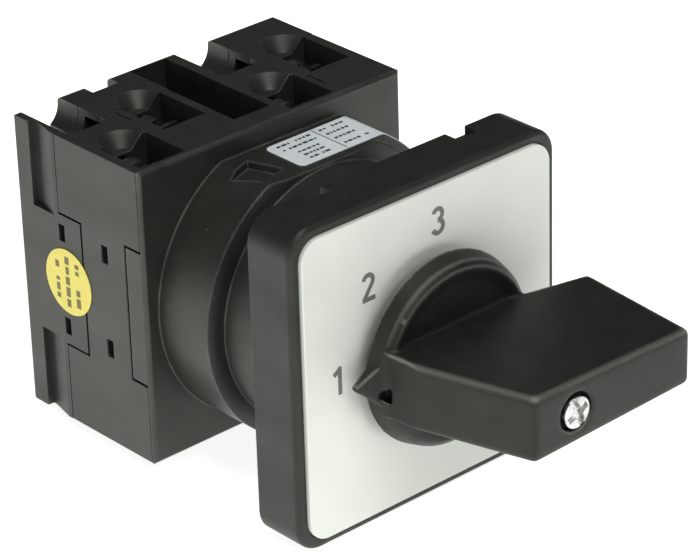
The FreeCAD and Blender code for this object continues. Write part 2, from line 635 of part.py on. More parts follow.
def make_partition():
    """Round plate that closes the detent cavity."""
    y = ("partition_front", "cover_seam - hair_gap")
    plate = rod("partition_blank", "cavity_radius - loose_gap", y)
    holes = [rod("partition_bore", "rotor_hub + running_gap", ("0", "body_seam"))]
    holes += [rod(f"partition_hole{number}", "tie_radius + loose_gap", ("0", "body_seam"), "0",
                  f"{up} * tie_centre") for number, up in enumerate((-1, 1), start=1)]
    return difference("partition_plate", plate, holes)


# ---------------------------------------------------------------- contact housing and rear cover

STATIONS = (
    # name, level, pocket's low side, pocket's width, side of the shaft, start state
    ("front_left", "front_level", "outer_pocket", "outer_wide", -1, "closed"),
    ("front_right", "front_level", "outer_pocket + group_shift", "outer_wide", 1, "held"),
    ("rear_left", "rear_level", "inner_pocket", "inner_wide", -1, "open"),
    ("rear_right", "rear_level", "inner_pocket + group_shift", "inner_wide", 1, "closed"),
)


def station_tools(up):
    """Everything that each of the four stations takes out of the two housings on one face."""
    tools = []
    top = "body_half_high + overrun"
    for name, level, low, wide, side, state in STATIONS:
        mark = f"{name}_{'top' if up > 0 else 'bottom'}"
        front = level == "front_level"
        y = ("front_pocket_start", "front_pocket_end") if front else ("rear_pocket_start",
                                                                      "rear_pocket_end")
        tools.append(block("pocket_" + mark, (low, f"{low} + {wide}"), y, flip(up, "pocket_floor", top)))
        leg = flip(side, "plunger_outer - tip_thick * 2 - fixed_thick - loose_gap",
                   "plunger_outer - tip_thick")
        tools.append(block("leg_slot_" + mark, leg, (f"{level} - plate_front_step - running_gap",
                           f"{level} + contact_half + loose_gap"), flip(up, "chamber_high - overrun",
                                                                        "pocket_floor + strip_rise + bury")))
        if "outer" in low and side < 0 or "inner" in low and side > 0:
            reach = (f"{low} + {wide} - overrun", leg[1]) if side < 0 else (leg[0], f"{low} + overrun")
            tools.append(block("arm_slot_" + mark, reach, (f"{level} - plate_front_step - running_gap",
                               f"{level} - plate_front_step + fixed_thick + running_gap"),
                               flip(up, "pocket_floor", "pocket_floor + strip_rise + bury")))
        x = f"{low} + terminal_screw_in"
        end = y[1]
        tools.append(rod("driver_bore_" + mark, "driver_bore", (f"{end} - overrun", "body_rear + overrun"),
                         x,
                         f"{up} * terminal_screw_high"))
        cup = funnel("funnel_" + mark, f"{low} + {wide} / 2", f"{end} + bury")
        tools.append(cup if up > 0 else mirrored(cup, "funnel_low_" + mark, (0, 0, 1)))
        if name == "rear_left":
            tools.append(block("notch_" + mark, (f"{x} - rear_notch", f"{x} + rear_notch"),
                               ("body_rear - rear_notch_long", "body_rear + overrun"),
                               flip(up, "body_half_high - rear_notch_deep", top)))
    face = "top" if up > 0 else "bottom"
    tools.append(block(f"well_{face}", ("well_left", "well_right"), ("well_start", "well_end"),
                       flip(up, "well_floor", top)))
    for number, x in enumerate(("channel_left", "channel_left + channel_shift"), start=1):
        tools += channel_tools(f"channel{number}_{face}", x, up)
    return tools


def channel_tools(name, x, up):
    """Round channel that leads a screwdriver in, with a ring cut and a nook in its inner wall."""
    z = f"{up} * channel_high"
    return [
        rod(name, "channel_radius", ("channel_start", "body_rear + overrun"), x, z),
        rod(name + "_ring", "channel_radius", ("ring_start", "ring_end"), f"{x} + ring_deep", z),
        block(name + "_nook", (x, f"{x} + channel_radius + nook_deep"), ("nook_start", "nook_end"),
              flip(up, "nook_low", "nook_high")),
    ]


def side_tools(name):
    """Small openings in both side walls."""
    tools = []
    for side in (-1, 1):
        for up in (-1, 1):
            for y in ("slot_front", "slot_rear"):
                tools.append(block(f"{name}_slot{len(tools)}", flip(side, "body_half_wide - slot_deep",
                             "body_half_wide + overrun"), (f"{y} - slot_wide / 2", f"{y} + slot_wide / 2"),
                             flip(up, "slot_centre - slot_high / 2", "slot_centre + slot_high / 2")))
    return tools


def make_contact_housing():
    """Moulded block with two levels of contact chambers, closed at the front and at the rear."""
    block_blank = block("housing_blank", ("-body_half_wide", "body_half_wide"),
                        ("cover_seam + joint_gap", "body_seam"), ("-body_half_high", "body_half_high"))
    tools = station_tools(1) + station_tools(-1) + side_tools("housing")
    levels = (("front", "cover_seam", "middle_wall"),
              ("rear", "middle_wall + wall_thick", "body_seam + overrun"))
    for word, start, end in levels:
        tools.append(rod(f"rotor_bore_{word}", "rotor_bore", (start, end)))
        for side in (-1, 1):
            tools.append(block(f"chamber_{word}_{side + 1}", flip(side, "chamber_inner", "chamber_outer"),
                               (start, end), ("-chamber_high", "chamber_high")))
            tools.append(block(f"plunger_way_{word}_{side + 1}",
                               flip(side, "plunger_way_start", "chamber_inner + overrun"),
                               (start, end), ("-plunger_half - loose_gap", "plunger_half + loose_gap")))
    tools.append(rod("middle_bore", "rotor_hub + running_gap", ("0", "body_rear")))
    tools += [rod(f"housing_tie{number}", "tie_radius + bury", ("0", "body_rear"), "0",
                  f"{up} * tie_centre")
              for number, up in enumerate((-1, 1), start=1)]
    for side in (-1, 1):
        wall = flip(side, "body_half_wide - tongue_thick - joint_gap", "body_half_wide + overrun")
        tools.append(block(f"tongue_seat{side + 1}", wall, ("0", "tongue_end + clip_gap"),
                           ("-tongue_half - clip_gap", "tongue_half + clip_gap")))
        tools.append(block(f"tab_seat{side + 1}", wall, ("rear_tab_start - clip_gap", "body_rear"),
                           ("-tongue_half - clip_gap", "tongue_half + clip_gap")))
    for up in (-1, 1):
        tools.append(block(f"top_slit_left{up + 1}", ("slit_left - slit_half", "slit_left + slit_half"),
                           ("rear_level", "slit_rear_end"),
                           flip(up, "body_half_high - slit_deep", "body_half_high + overrun")))
        tools.append(block(f"top_slit_right{up + 1}", ("slit_right - slit_half", "slit_right + slit_half"),
                           ("slit_front_start", "slit_front_end"),
                           flip(up, "body_half_high - slit_deep", "body_half_high + overrun")))
    return difference("contact_housing", block_blank, tools)


def make_rear_cover():
    """Rear moulding: carries the shaft's tail, the screw channels and two clip tabs."""
    blank = block("rear_blank", ("-body_half_wide", "body_half_wide"),
                  ("body_seam + joint_gap", "body_rear"),
                  ("-body_half_high", "body_half_high"))
    rear = SIZES["body_rear"]
    soft = rounded("rear_soft", blank, "rear_edge", lambda edge: lies_at(edge, 1, rear))
    tabs = [block(f"rear_tab{side + 1}", flip(side, "body_half_wide - tongue_thick", "body_half_wide"),
                  ("rear_tab_start", "body_seam + overlap_deep"), ("-tongue_half",
                                                                   "tongue_half")) for side in (-1, 1)]
    tools = station_tools(1) + station_tools(-1) + side_tools("rear")
    tools.append(rod("rear_hub_room", "rotor_hub + clip_gap", ("0", "hub_room_end")))
    tools.append(rod("clip_room_bore", "clip_room",
                     ("hub_room_end - loose_gap", "journal_start + hair_gap")))
    tools.append(rod("journal_bore", "journal_radius + running_gap",
                     ("journal_start", "body_rear + overrun")))
    for number, up in enumerate((-1, 1), start=1):
        tools.append(rod(f"rear_tie{number}", "tie_radius + bury", ("0", "body_rear"), "0",
                         f"{up} * tie_centre"))
        tools.append(rod(f"rear_tie_sink{number}", "tie_head + loose_gap",
                         ("body_rear - tie_head_high - bury",
                         "body_rear + overrun"), "0", f"{up} * tie_centre"))
    for up in (-1, 1):
        tools.append(side_groove(f"side_groove{up + 1}", up))
        tools.append(block(f"rear_slit{up + 1}", ("rear_slit_left", "rear_slit_right"),
                           ("rear_slit_start", "rear_slit_end"),
                           flip(up, "body_half_high - slit_deep", "body_half_high + overrun")))
    return difference("rear_cover", union("rear_body", [soft] + tabs), tools)


def side_groove(name, up):
    """Groove in the left wall with a steep rear side and a long slope towards the front."""
    low, high = flip(up, "tongue_half - overlap_deep", "body_half_high + overrun")
    wedge = doc.addObject("Part::Wedge", name)
    wedge.Placement = FreeCAD.Placement(FreeCAD.Vector(), FreeCAD.Rotation(FreeCAD.Vector(0, 0, 1), 90))
    bind(wedge, Xmin="groove_floor_start", Xmax="groove_floor_end", X2min="groove_start",
         X2max="groove_end", Ymin="body_half_wide - groove_deep", Ymax="body_half_wide + film_gap",
         Zmin=low, Zmax=high, Z2min=low, Z2max=high)
    return wedge


def make_date_disc():
    """Plain round sticker on the left side, its printed date left out."""
    return cross_rod("date_sticker", "disc_radius",
                     ("-body_half_wide - film_gap - disc_thick",
                      "-body_half_wide - film_gap"), "disc_centre")


def make_tie_screws():
    """Two long screws that hold rear cover, contact housing and detent housing together."""
    screws = []
    face = "body_rear - bury"
    for number, up in enumerate((-1, 1), start=1):
        z = f"{up} * tie_centre"
        shank = rod(f"tie_shank{number}", "tie_radius", ("tie_thread_front + bury", face), "0", z)
        head = rod(f"tie_cap{number}", "tie_head", (f"{face} - tie_head_high", face), "0", z)
        screws.append(cross_drive(f"tie_screw{number}", [shank, head], "0", face, z, -1))
    return group("tie_screws", screws)


# ---------------------------------------------------------------- handle and shaft

def make_handle_knob():
    """Moulded handle: dished disc, side-swept grip, pointer and a hub that runs in the sleeve."""
    body = new_body("handle_knob")
    half_section = new_sketch(body, "knob_section", "XY_Plane")
    polygon(half_section, [
        ("0", "-hub_end"), ("hub_radius", "-hub_end"), ("hub_radius", "-knob_rear"),
        ("knob_radius", "-knob_rear"), ("knob_front_radius", "-knob_shoulder"), ("dish_rim", "-knob_front"),
        ("dish_radius", "-dish_floor"), ("0", "-dish_floor"),
    ])
    turned = body.newObject("PartDesign::Revolution", "knob_turned")
    turned.Profile = half_section
    turned.ReferenceAxis = (half_section, ["V_Axis"])
    turned.Angle = 360
    doc.recompute()

    side_view = new_sketch(body, "grip_outline", "XY_Plane")
    polygon(side_view, [
        ("grip_root_left", "-grip_root"), ("grip_rear_right", "-grip_root"),
        ("grip_knee_right", "-grip_knee_depth"), ("grip_right", "-grip_right_depth"),
        ("grip_tip_right", "-grip_front"), ("grip_tip_left", "-grip_front"), ("grip_left",
                                                                              "-grip_left_depth"),
    ])
    pad(body, side_view, "grip_half * 2", midplane=True)
    doc.recompute()
    clear_of_disc = SIZES["knob_front"] + 0.5

    def on_grip(edge):
        return edge.BoundBox.YMax < -clear_of_disc + 0.5 and edge.BoundBox.YMin < -clear_of_disc

    soften(body, "grip_round", on_grip)

    pointer = new_sketch(body, "pointer", "XZ_Plane", "pointer_rear")
    polygon(pointer, [("pointer_base", "-pointer_half"), ("pointer_tip", "-pointer_blunt"),
                      ("pointer_tip", "pointer_blunt"),
                      ("pointer_base", "pointer_half")])
    pad(body, pointer, "pointer_front - pointer_rear")
    slope = new_sketch(body, "pointer_slope", "XY_Plane", "-pointer_half - overrun")
    polygon(slope, [("pointer_tip - overrun", "-pointer_nose"), ("pointer_tip", "-pointer_nose"),
                    ("pointer_base", "-pointer_front"), ("pointer_base", "-pointer_front - overrun"),
                    ("pointer_tip - overrun", "-pointer_front - overrun")])
    pocket(body, slope, "pointer_half * 2 + overrun * 2", backwards=True)
    nick = new_sketch(body, "pointer_nick", "XZ_Plane", "knob_front")
    polygon(nick, [("nick_left", "nick_middle"), ("nick_right", "nick_low"),
                   ("nick_right", "nick_right_top"), ("nick_top_left", "nick_top")])
    pocket(body, nick, "knob_front - nick_floor")
    sink = new_sketch(body, "knob_screw_sink", "XZ_Plane", "grip_front")
    circle(sink, "screw_hole")
    pocket(body, sink, "grip_front - screw_seat")
    hole = new_sketch(body, "knob_screw_hole", "XZ_Plane", "screw_seat")
    circle(hole, "handle_screw_radius + screw_clear")
    pocket(body, hole, "screw_seat - shaft_front + overrun")
    socket = new_sketch(body, "knob_socket", "XZ_Plane", "shaft_front + loose_gap")
    square(socket, "socket_side / 2")
    pocket(body, socket, "shaft_front")
    return body


def make_handle_screw():
    """Screw in the grip's front face, threaded into the shaft's end."""
    head = rod("handle_screw_cap", "handle_screw_head",
               ("-screw_seat - handle_screw_high", "-screw_seat - hair_gap"))
    shank = rod("handle_screw_shank", "handle_screw_radius",
                ("-screw_seat - overlap_deep", "-handle_screw_end"))
    return cross_drive("handle_screw", [head, shank], "0", "-screw_seat - handle_screw_high", "0", 1,
                       "handle_drive_reach")


def make_square_shaft():
    """Square shaft from the handle to the rear bearing, with a round tail and a clip groove."""
    half = "shaft_side / 2"
    bar = block("shaft_bar", (f"-{half}", half), ("-shaft_front", "journal_start"), (f"-{half}", half))
    soft = rounded("shaft_bar_soft", bar, "shaft_bevel", lambda edge: along(edge, 1))
    tail = rod("shaft_tail", "journal_radius", ("journal_start - loose_gap", "shaft_rear"))
    thread = rod("shaft_thread", "handle_screw_radius + hair_gap",
                 ("-shaft_front - overrun", "-handle_screw_end + overrun"))
    outer = rod("clip_groove_outer", "clip_radius",
                ("clip_start - running_gap", "clip_start + clip_thick + running_gap"))
    inner = rod("clip_groove_inner", "clip_groove", ("clip_start - bury", "clip_start + clip_thick + bury"))
    return difference("square_shaft", union("shaft_blank", [soft, tail]),
                      [thread, difference("clip_groove_cut", outer, [inner])])


def make_shaft_clip():
    """Spring clip that keeps the rotor on the shaft."""
    y = ("clip_start", "clip_start + clip_thick")
    disc = rod("clip_disc", "clip_radius", y)
    bore = rod("clip_bore", "clip_groove + hair_gap", ("0", "body_rear"))
    mouth = block("clip_mouth", ("-clip_mouth_half", "clip_mouth_half"), ("0", "body_rear"),
                  ("0", "clip_radius + overrun"))
    return difference("shaft_clip", disc, [bore, mouth])


# ---------------------------------------------------------------- cams

def follower_radius(state, turn):
    """Distance from the shaft to a follower nose's centre, at this turn of the handle in degrees."""
    closed = SIZES["cam_low"] + SIZES["nose_radius"] + SIZES["cam_gap"]
    travelled = SIZES["contact_stroke"] * turn / SIZES["turn_range"]
    return closed + travelled if state == "closed" else closed + SIZES["contact_stroke"] - travelled


def working_point(state, start, turn):
    """Point of the cam that the follower touches, in the rotor's own frame: x and z."""
    angle = math.radians(start + turn)
    radius = follower_radius(state, turn)
    slope = math.degrees(follower_radius(state, 1) - follower_radius(state, 0))
    length = math.hypot(radius, slope)
    outwards = (math.cos(angle), math.sin(angle))
    sideways = (-math.sin(angle), math.cos(angle))
    inset = SIZES["nose_radius"] + SIZES["cam_gap"]
    return [radius * outwards[i] - inset * (radius * outwards[i] - slope * sideways[i]) / length
            for i in range(2)]


def notched_point(start, turn):
    """Point of the cam under the contact that only the middle position lets close."""
    high = SIZES["cam_low"] + SIZES["contact_stroke"]
    off = abs(turn - SIZES["turn_range"] / 2)
    dip = 0.0
    if off < NOTCH_HALF_ANGLE:
        dip = SIZES["contact_stroke"] * (1 + math.cos(math.pi * off / NOTCH_HALF_ANGLE)) / 2
    angle = math.radians(start + turn)
    return [(high - dip) * math.cos(angle), (high - dip) * math.sin(angle)]


def cam_outline(left_state, right_state):
    """Closed outline of a two-sided cam: two working sectors joined by plain arcs of turn."""
    points = []
    first, last = -CAM_OVERRUN, int(SIZES["turn_range"]) + CAM_OVERRUN
    for state, start in ((right_state, 0), (left_state, 180)):
        for turn in range(first, last + 1, CAM_STEP):
            spot = notched_point(start, turn) if state == "held" else working_point(state, start, turn)
            points.append(spot)
    return points


def make_cam(word, level, hub_ends, left_state, right_state):
    """Cam disc with a hub on each side; its outline lifts or drops the plungers at a steady rate."""
    plane = SIZES[level] - SIZES["cam_thick"] / 2
    points = [FreeCAD.Vector(x, plane, z) for x, z in cam_outline(left_state, right_state)]
    curve = Part.BSplineCurve()
    curve.interpolate(Points=points, PeriodicFlag=True)
    disc = doc.addObject("Part::Feature", f"cam_disc_{word}")
    face = Part.Face(Part.Wire([curve.toShape()]))
    disc.Shape = face.extrude(FreeCAD.Vector(0, SIZES["cam_thick"], 0))
    hub = rod(f"cam_hub_{word}", "rotor_hub", hub_ends)
    return difference(f"cam_{word}", union(f"cam_blank_{word}", [disc, hub]),
                      [shaft_hole(f"cam_hole_{word}")])


# ---------------------------------------------------------------- contacts

def nose_centre(state):
    """Formula for the follower nose's distance from the shaft at rest."""
    closed = "cam_low + nose_radius + cam_gap"
    return closed if state == "closed" else f"{closed} + contact_stroke"


def shift(state):
    """How far outwards a moving contact stands at rest."""
    return "0" if state == "closed" else "contact_stroke"


def make_plunger(name, level, side, state):
    """Plastic follower: round nose on the cam, stem for the bridge and its spring."""
    y = (f"{level} - plunger_half_thick", f"{level} + plunger_half_thick")
    centre = nose_centre(state)
    nose = rod(f"nose_{name}", "nose_radius", y, f"{side} * ({centre})")
    taper = block(f"nose_bar_{name}", flip(side, centre, f"{centre} + nose_reach"), y,
                  ("-nose_radius", "nose_radius"))
    bar = block(f"plunger_bar_{name}", flip(side, f"{centre} + nose_reach - bury",
                                            f"plunger_outer + {shift(state)}"), y,
                ("-plunger_half", "plunger_half"))
    stem = cross_rod(f"stem_{name}", "stem_radius", flip(side, f"plunger_outer - bury + {shift(state)}",
                     f"stem_end + {shift(state)}"), level)
    return union(f"plunger_{name}", [nose, taper, bar, stem])


def make_bridge(name, level, side, state):
    """Moving contact bar that joins the two fixed contacts of its station."""
    x = flip(side, f"plunger_outer + hair_gap + {shift(state)}",
             f"plunger_outer + bridge_thick + {shift(state)}")
    bar = block(f"bridge_bar_{name}", x, (f"{level} - contact_half", f"{level} + contact_half"),
                ("-bridge_half_high", "bridge_half_high"))
    hole = cross_rod(f"bridge_hole_{name}", "stem_radius + running_gap",
                     ("-body_half_wide", "body_half_wide"), level)
    return difference(f"bridge_{name}", bar, [hole])


def make_bridge_tips(name, level, side, state):
    """Silver tips on the bridge's inner face."""
    x = flip(side, f"plunger_outer + hair_gap - tip_thick + {shift(state)}",
             f"plunger_outer + hair_gap + {shift(state)}")
    tips = [cross_rod(f"tip_{name}_{up + 1}", "tip_radius", x, level, f"{up} * tip_centre") for up in (-1,
                                                                                                       1)]
    return group(f"bridge_tips_{name}", tips)


def fixed_faces():
    """Inner and outer face of every fixed contact's leg, measured out from the shaft."""
    outer = "plunger_outer + hair_gap - tip_thick * 2 - touch_gap"
    return f"{outer} - fixed_thick", outer


def make_fixed_contacts():
    """Eight bent strips: each has a leg under the bridge and a plate under its terminal screw."""
    strips = []
    inner, outer = fixed_faces()
    for name, level, low, wide, side, state in STATIONS:
        plate_y = (f"{level} - plate_front_step", f"{level} - plate_front_step + fixed_thick")
        for up in (-1, 1):
            mark = f"{name}_{up + 1}"
            leg = block("leg_" + mark, flip(side, inner, outer),
                        (f"{level} - contact_half", f"{level} + contact_half"),
                        flip(up, "fixed_start", "pocket_floor + strip_rise"))
            heel = block("heel_" + mark, flip(side, inner, outer),
                         (plate_y[0], f"{level} - contact_half + loose_gap"),
                         flip(up, "chamber_high - heel_drop", "pocket_floor + strip_rise"))
            plate = block("plate_" + mark, (f"{low} + plate_inset", f"{low} + {wide} - plate_inset"),
                          plate_y,
                          flip(up, "pocket_floor + loose_gap", "terminal_top"))
            pieces = [leg, heel, plate]
            if "outer" in low and side < 0:
                pieces.append(block("arm_" + mark, (f"{low} + {wide} - overrun", f"-({inner})"), plate_y,
                                    flip(up, "pocket_floor + loose_gap", "pocket_floor + strip_rise")))
            if "inner" in low and side > 0:
                pieces.append(block("arm_" + mark, (inner, f"{low} + overrun"), plate_y,
                                    flip(up, "pocket_floor + loose_gap", "pocket_floor + strip_rise")))
            thread = rod("plate_thread_" + mark, "terminal_radius + hair_gap", ("0", "body_rear"),
                         f"{low} + terminal_screw_in", f"{up} * terminal_screw_high")
            strips.append(difference("strip_" + mark, union("strip_blank_" + mark, pieces), [thread]))
    return group("fixed_contacts", strips)


def make_fixed_tips():
    """Silver tips on the fixed contacts' outer faces."""
    outer = fixed_faces()[1]
    tips = []
    for name, level, low, wide, side, state in STATIONS:
        for up in (-1, 1):
            tips.append(cross_rod(f"fixed_tip_{name}_{up + 1}", "tip_radius",
                                  flip(side, outer, f"{outer} + tip_thick"), level, f"{up} * tip_centre"))
    return group("fixed_contact_tips", tips)


def make_terminals():
    """A screw and a square clamp plate in each of the eight wire pockets."""
    screws, clamps = [], []
    for name, level, low, wide, side, state in STATIONS:
        x = f"{low} + terminal_screw_in"
        clamp_y = (f"{level} - clamp_step", f"{level} - clamp_step + clamp_thick")
        head_y = (f"{clamp_y[1]} + hair_gap", f"{clamp_y[1]} + hair_gap + terminal_head_high")
        for up in (-1, 1):
            mark = f"{name}_{up + 1}"
            z = f"{up} * terminal_screw_high"
            plate = block("clamp_blank_" + mark, (f"{x} - clamp_inner", f"{x} + clamp_outer"), clamp_y,
                          flip(up, "pocket_floor + strip_rise + loose_gap", "terminal_top + bury"))
            hole = rod("clamp_hole_" + mark, "terminal_radius + loose_gap", ("0", "body_rear"), x, z)
            clamps.append(difference("clamp_" + mark, plate, [hole]))
            shank = rod("terminal_shank_" + mark, "terminal_radius",
                        (f"{level} - plate_front_step - shank_proud",
                        head_y[1]), x, z)
            head = rod("terminal_cap_" + mark, "terminal_head", head_y, x, z)
            screws.append(cross_drive("terminal_screw_" + mark, [shank, head], x, head_y[1], z, -1,
                                      "terminal_drive_reach"))
    return [group("terminal_screws", screws), group("terminal_clamps", clamps)]


def make_spring(label, radius, x, y, side):
    """Coil spring along X between two distances from the shaft."""
    coil = doc.addObject("Part::Helix", label + "_path")
    bind(coil, Radius=radius, Height=f"({x[1]}) - ({x[0]}) - spring_wire * 2")
    bind(coil, Pitch=f"(({x[1]}) - ({x[0]}) - spring_wire * 2) / spring_turns")
    wire = doc.addObject("Part::Circle", label + "_wire")
    wire.Placement = FreeCAD.Placement(FreeCAD.Vector(), FreeCAD.Rotation(FreeCAD.Vector(1, 0, 0), 90))
    bind(wire, Radius="spring_wire")
    at(wire, radius)
    doc.recompute()
    spring = doc.addObject("Part::Sweep", label)
    spring.Sections = [wire]
    spring.Spine = (coil, [])
    spring.Solid = True
    spring.Frenet = True
    spring.Placement = FreeCAD.Placement(FreeCAD.Vector(),
                                         FreeCAD.Rotation(FreeCAD.Vector(0, 1, 0), 90 * side))
    at(spring, f"{side} * ({x[0]} + spring_wire)", y)
    return spring


# ---------------------------------------------------------------- the whole switch

def build_all():
    pieces = [
        make_front_frame(), make_dial_plate(), make_panel_gasket(), make_shaft_seal(), make_fixing_screws(),
        make_detent_housing(), make_rating_label(), make_stop_ring(), make_partition(),
        make_contact_housing(), make_rear_cover(), make_date_disc(), make_tie_screws(),
        make_handle_knob(), make_handle_screw(), make_square_shaft(), make_shaft_clip(),
        make_detent_star(), make_stop_cam(),
        make_cam("front", "front_level", ("cam_hub_front", "middle_wall + loose_gap"), "closed", "held"),
        make_cam("rear", "rear_level", ("middle_wall + hub_step", "cam_hub_rear"), "open", "closed"),
        make_fixed_contacts(), make_fixed_tips(),
    ]
    pieces += make_terminals()
    for word, side in (("left", -1), ("right", 1)):
        pieces.append(make_detent_slider(side, word))
        pieces.append(make_detent_roller(side, word))
        pieces.append(make_spring(f"detent_spring_{word}", "detent_spring_radius",
                                  ("slider_outer + running_gap", "spring_seat"),
                                  "star_front + star_thick / 2", side))
    for name, level, low, wide, side, state in STATIONS:
        pieces.append(make_plunger(name, level, side, state))
        pieces.append(make_bridge(name, level, side, state))
        pieces.append(make_bridge_tips(name, level, side, state))
        pieces.append(make_spring(f"contact_spring_{name}", "contact_spring_radius",
                                  (f"plunger_outer + bridge_thick + running_gap + {shift(state)}",
                                   "chamber_outer - running_gap"), level, side))
    return pieces


def check_document(pieces):
    """Stop before writing if anything failed to build."""
    for obj in doc.Objects:
        if "Invalid" in obj.State or "Error" in obj.State:
            raise ValueError(f"{obj.Name} failed: {obj.State}")
    for piece in pieces:
        if piece.Shape.isNull() or not piece.Shape.isValid() or not piece.Shape.Solids:
            raise ValueError(f"{piece.Label} has no valid solid")


def export(pieces):
    os.makedirs("parts", exist_ok=True)
    for piece in pieces:
        piece.Shape.exportStep(f"parts/{piece.Label}.step")


make_sheet()
all_pieces = build_all()
doc.recompute()
check_document(all_pieces)
export(all_pieces)
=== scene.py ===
"""Looks of a panel-mounted rotary cam switch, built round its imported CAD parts.

Everything is in metres in the CAD's own frame: the shaft runs along Y through the origin, the
user's side is -Y, +Z is up. Moulded and metal parts are rebuilt from the CAD's surfaces with
rounded edges, and the printed dial, the label's and sticker's print and the handle's screw are
modelled here. Numbers below are in millimetres and degrees unless they say otherwise.
"""

import json
import math
import random

import bmesh
import bpy
from mathutils import Matrix, Vector


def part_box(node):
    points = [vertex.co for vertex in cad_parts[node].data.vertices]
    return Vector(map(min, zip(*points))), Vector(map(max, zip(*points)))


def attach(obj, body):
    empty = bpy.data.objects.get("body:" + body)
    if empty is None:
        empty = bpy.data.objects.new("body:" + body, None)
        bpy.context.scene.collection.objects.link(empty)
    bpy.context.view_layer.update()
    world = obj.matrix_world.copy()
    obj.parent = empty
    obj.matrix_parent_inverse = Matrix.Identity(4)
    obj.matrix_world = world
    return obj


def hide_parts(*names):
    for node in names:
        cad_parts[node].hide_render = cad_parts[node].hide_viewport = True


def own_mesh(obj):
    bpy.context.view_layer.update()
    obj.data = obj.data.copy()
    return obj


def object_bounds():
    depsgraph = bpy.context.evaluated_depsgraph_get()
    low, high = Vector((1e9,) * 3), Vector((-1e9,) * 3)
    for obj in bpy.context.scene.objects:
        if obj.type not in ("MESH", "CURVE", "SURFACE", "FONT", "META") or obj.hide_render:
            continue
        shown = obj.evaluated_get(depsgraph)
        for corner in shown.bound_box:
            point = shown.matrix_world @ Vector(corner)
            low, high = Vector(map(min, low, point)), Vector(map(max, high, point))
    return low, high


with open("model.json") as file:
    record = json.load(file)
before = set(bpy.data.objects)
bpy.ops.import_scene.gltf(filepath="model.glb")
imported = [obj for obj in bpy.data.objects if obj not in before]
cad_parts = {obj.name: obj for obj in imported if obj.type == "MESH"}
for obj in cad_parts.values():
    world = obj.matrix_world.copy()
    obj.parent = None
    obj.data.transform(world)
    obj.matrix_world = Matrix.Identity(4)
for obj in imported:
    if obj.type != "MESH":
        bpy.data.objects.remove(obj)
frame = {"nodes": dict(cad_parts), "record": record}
cad_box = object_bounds()

MM = 0.001
NODES = frame["nodes"]
BODY_OF = {node: body for body, nodes in frame["record"]["behaviour"]["bodies"].items()
           for node in nodes}
SLOT_OF = {part["node"]: part["material_slot"] for part in frame["record"]["subparts"]}

# Cleaning and rounding the CAD's surfaces
WELD = 0.002            # corners this near to each other are one
FLAT_ANGLE = 0.4        # neighbouring triangles within this angle are one flat face
SHARP_ANGLE = 32        # edges sharper than this get rounded
SHORTEST_EDGE = 0.5     # shortest edge that gets rounded, as a share of the rounding
ROUND_STEPS = 2         # strips that make up one rounded edge
CREASE_ANGLE = 50       # shading breaks along edges sharper than this
ROUNDED = {             # how far each node's edges are rounded
    "front_frame": 0.12, "dial_plate": 0.05, "detent_housing": 0.14, "contact_housing": 0.14,
    "terminal_screws": 0.1, "terminal_clamps": 0.08, "tie_screws": 0.1, "fixing_screws": 0.1,
    "square_shaft": 0.08, "rating_label": 0.03, "date_sticker": 0.03,
}

# The handle, whose parts flow into one moulding
KNOB_VOXEL = 0.22
KNOB_PASSES = 14
RELAX_FACTOR = 0.5
DRAFT_START = 16.0      # distance in front of the panel at which the grip begins to thin
DRAFT_LENGTH = 20.0     # and over which it does
DRAFT_LEFT = -7.5       # where along X it has its full thickness
DRAFT_WIDE = 29.0
DRAFT_CORE = 3.3        # distance from the middle within which nothing moves
DRAFT_SHARE = 0.15      # part of its thickness that the grip loses

# The contact springs that the handle presses on its way to position 3
PRESSED = {"contact_spring_front_left": "contact_front_left_slide",
           "contact_spring_rear_right": "contact_rear_right_slide"}

# Numbers on the dial
DIGIT_HIGH = 4.2
DIGIT_WIDE = 2.35
DIGIT_STROKE = 0.68
DIGIT_PLACES = {"1": (-16.9, 0.5), "2": (-11.1, 12.3), "3": (1.5, 17.5)}
ONE_STEM = 0.45         # how far right the 1's stem stands, as a share of half the width
ONE_FLAG = (1.05, 0.75)             # how far left and down the 1's flag reaches
TWO_BOWL = (170, -28)               # angles from which and to which a digit's bowls run
THREE_UPPER = (160, -90)
THREE_LOWER = (90, -160)
THREE_SPLIT = 0.47      # the 3's upper bowl as a share of half the height
ARC_STEPS = 20

# Small print on the label and the sticker
INK_THICK = 0.02
LABEL_COLUMN = 8.4      # from the label's left edge to its dividing line
LABEL_LINE = 0.16
LABEL_LINE_INSET = 0.25
LABEL_ROWS = (          # column side, room at its start and its end, distances from the top edge
    ("left", 1.4, 0.8, (1.1, 2.5)),
    ("left", 2.6, 2.0, (4.2, 5.4, 6.6)),
    ("right", 0.7, 5.4, (1.1, 2.7, 4.4, 6.4)),
)
LABEL_PRINT_HIGH = 0.52
LABEL_SEED = 5
STICKER_ROWS = ((3.1, 2.3), (3.9, 0.1), (3.4, -2.1))    # half length, distance from the middle
STICKER_PRINT_HIGH = 0.95
STICKER_SEED = 3
DASH_LENGTHS = (0.55, 1.7)          # dashes' lengths and gaps as shares of the print's height
DASH_GAP = 0.4
DASH_CHANCE = 0.86      # share of the dashes that are printed
DASH_THINNEST = 0.75

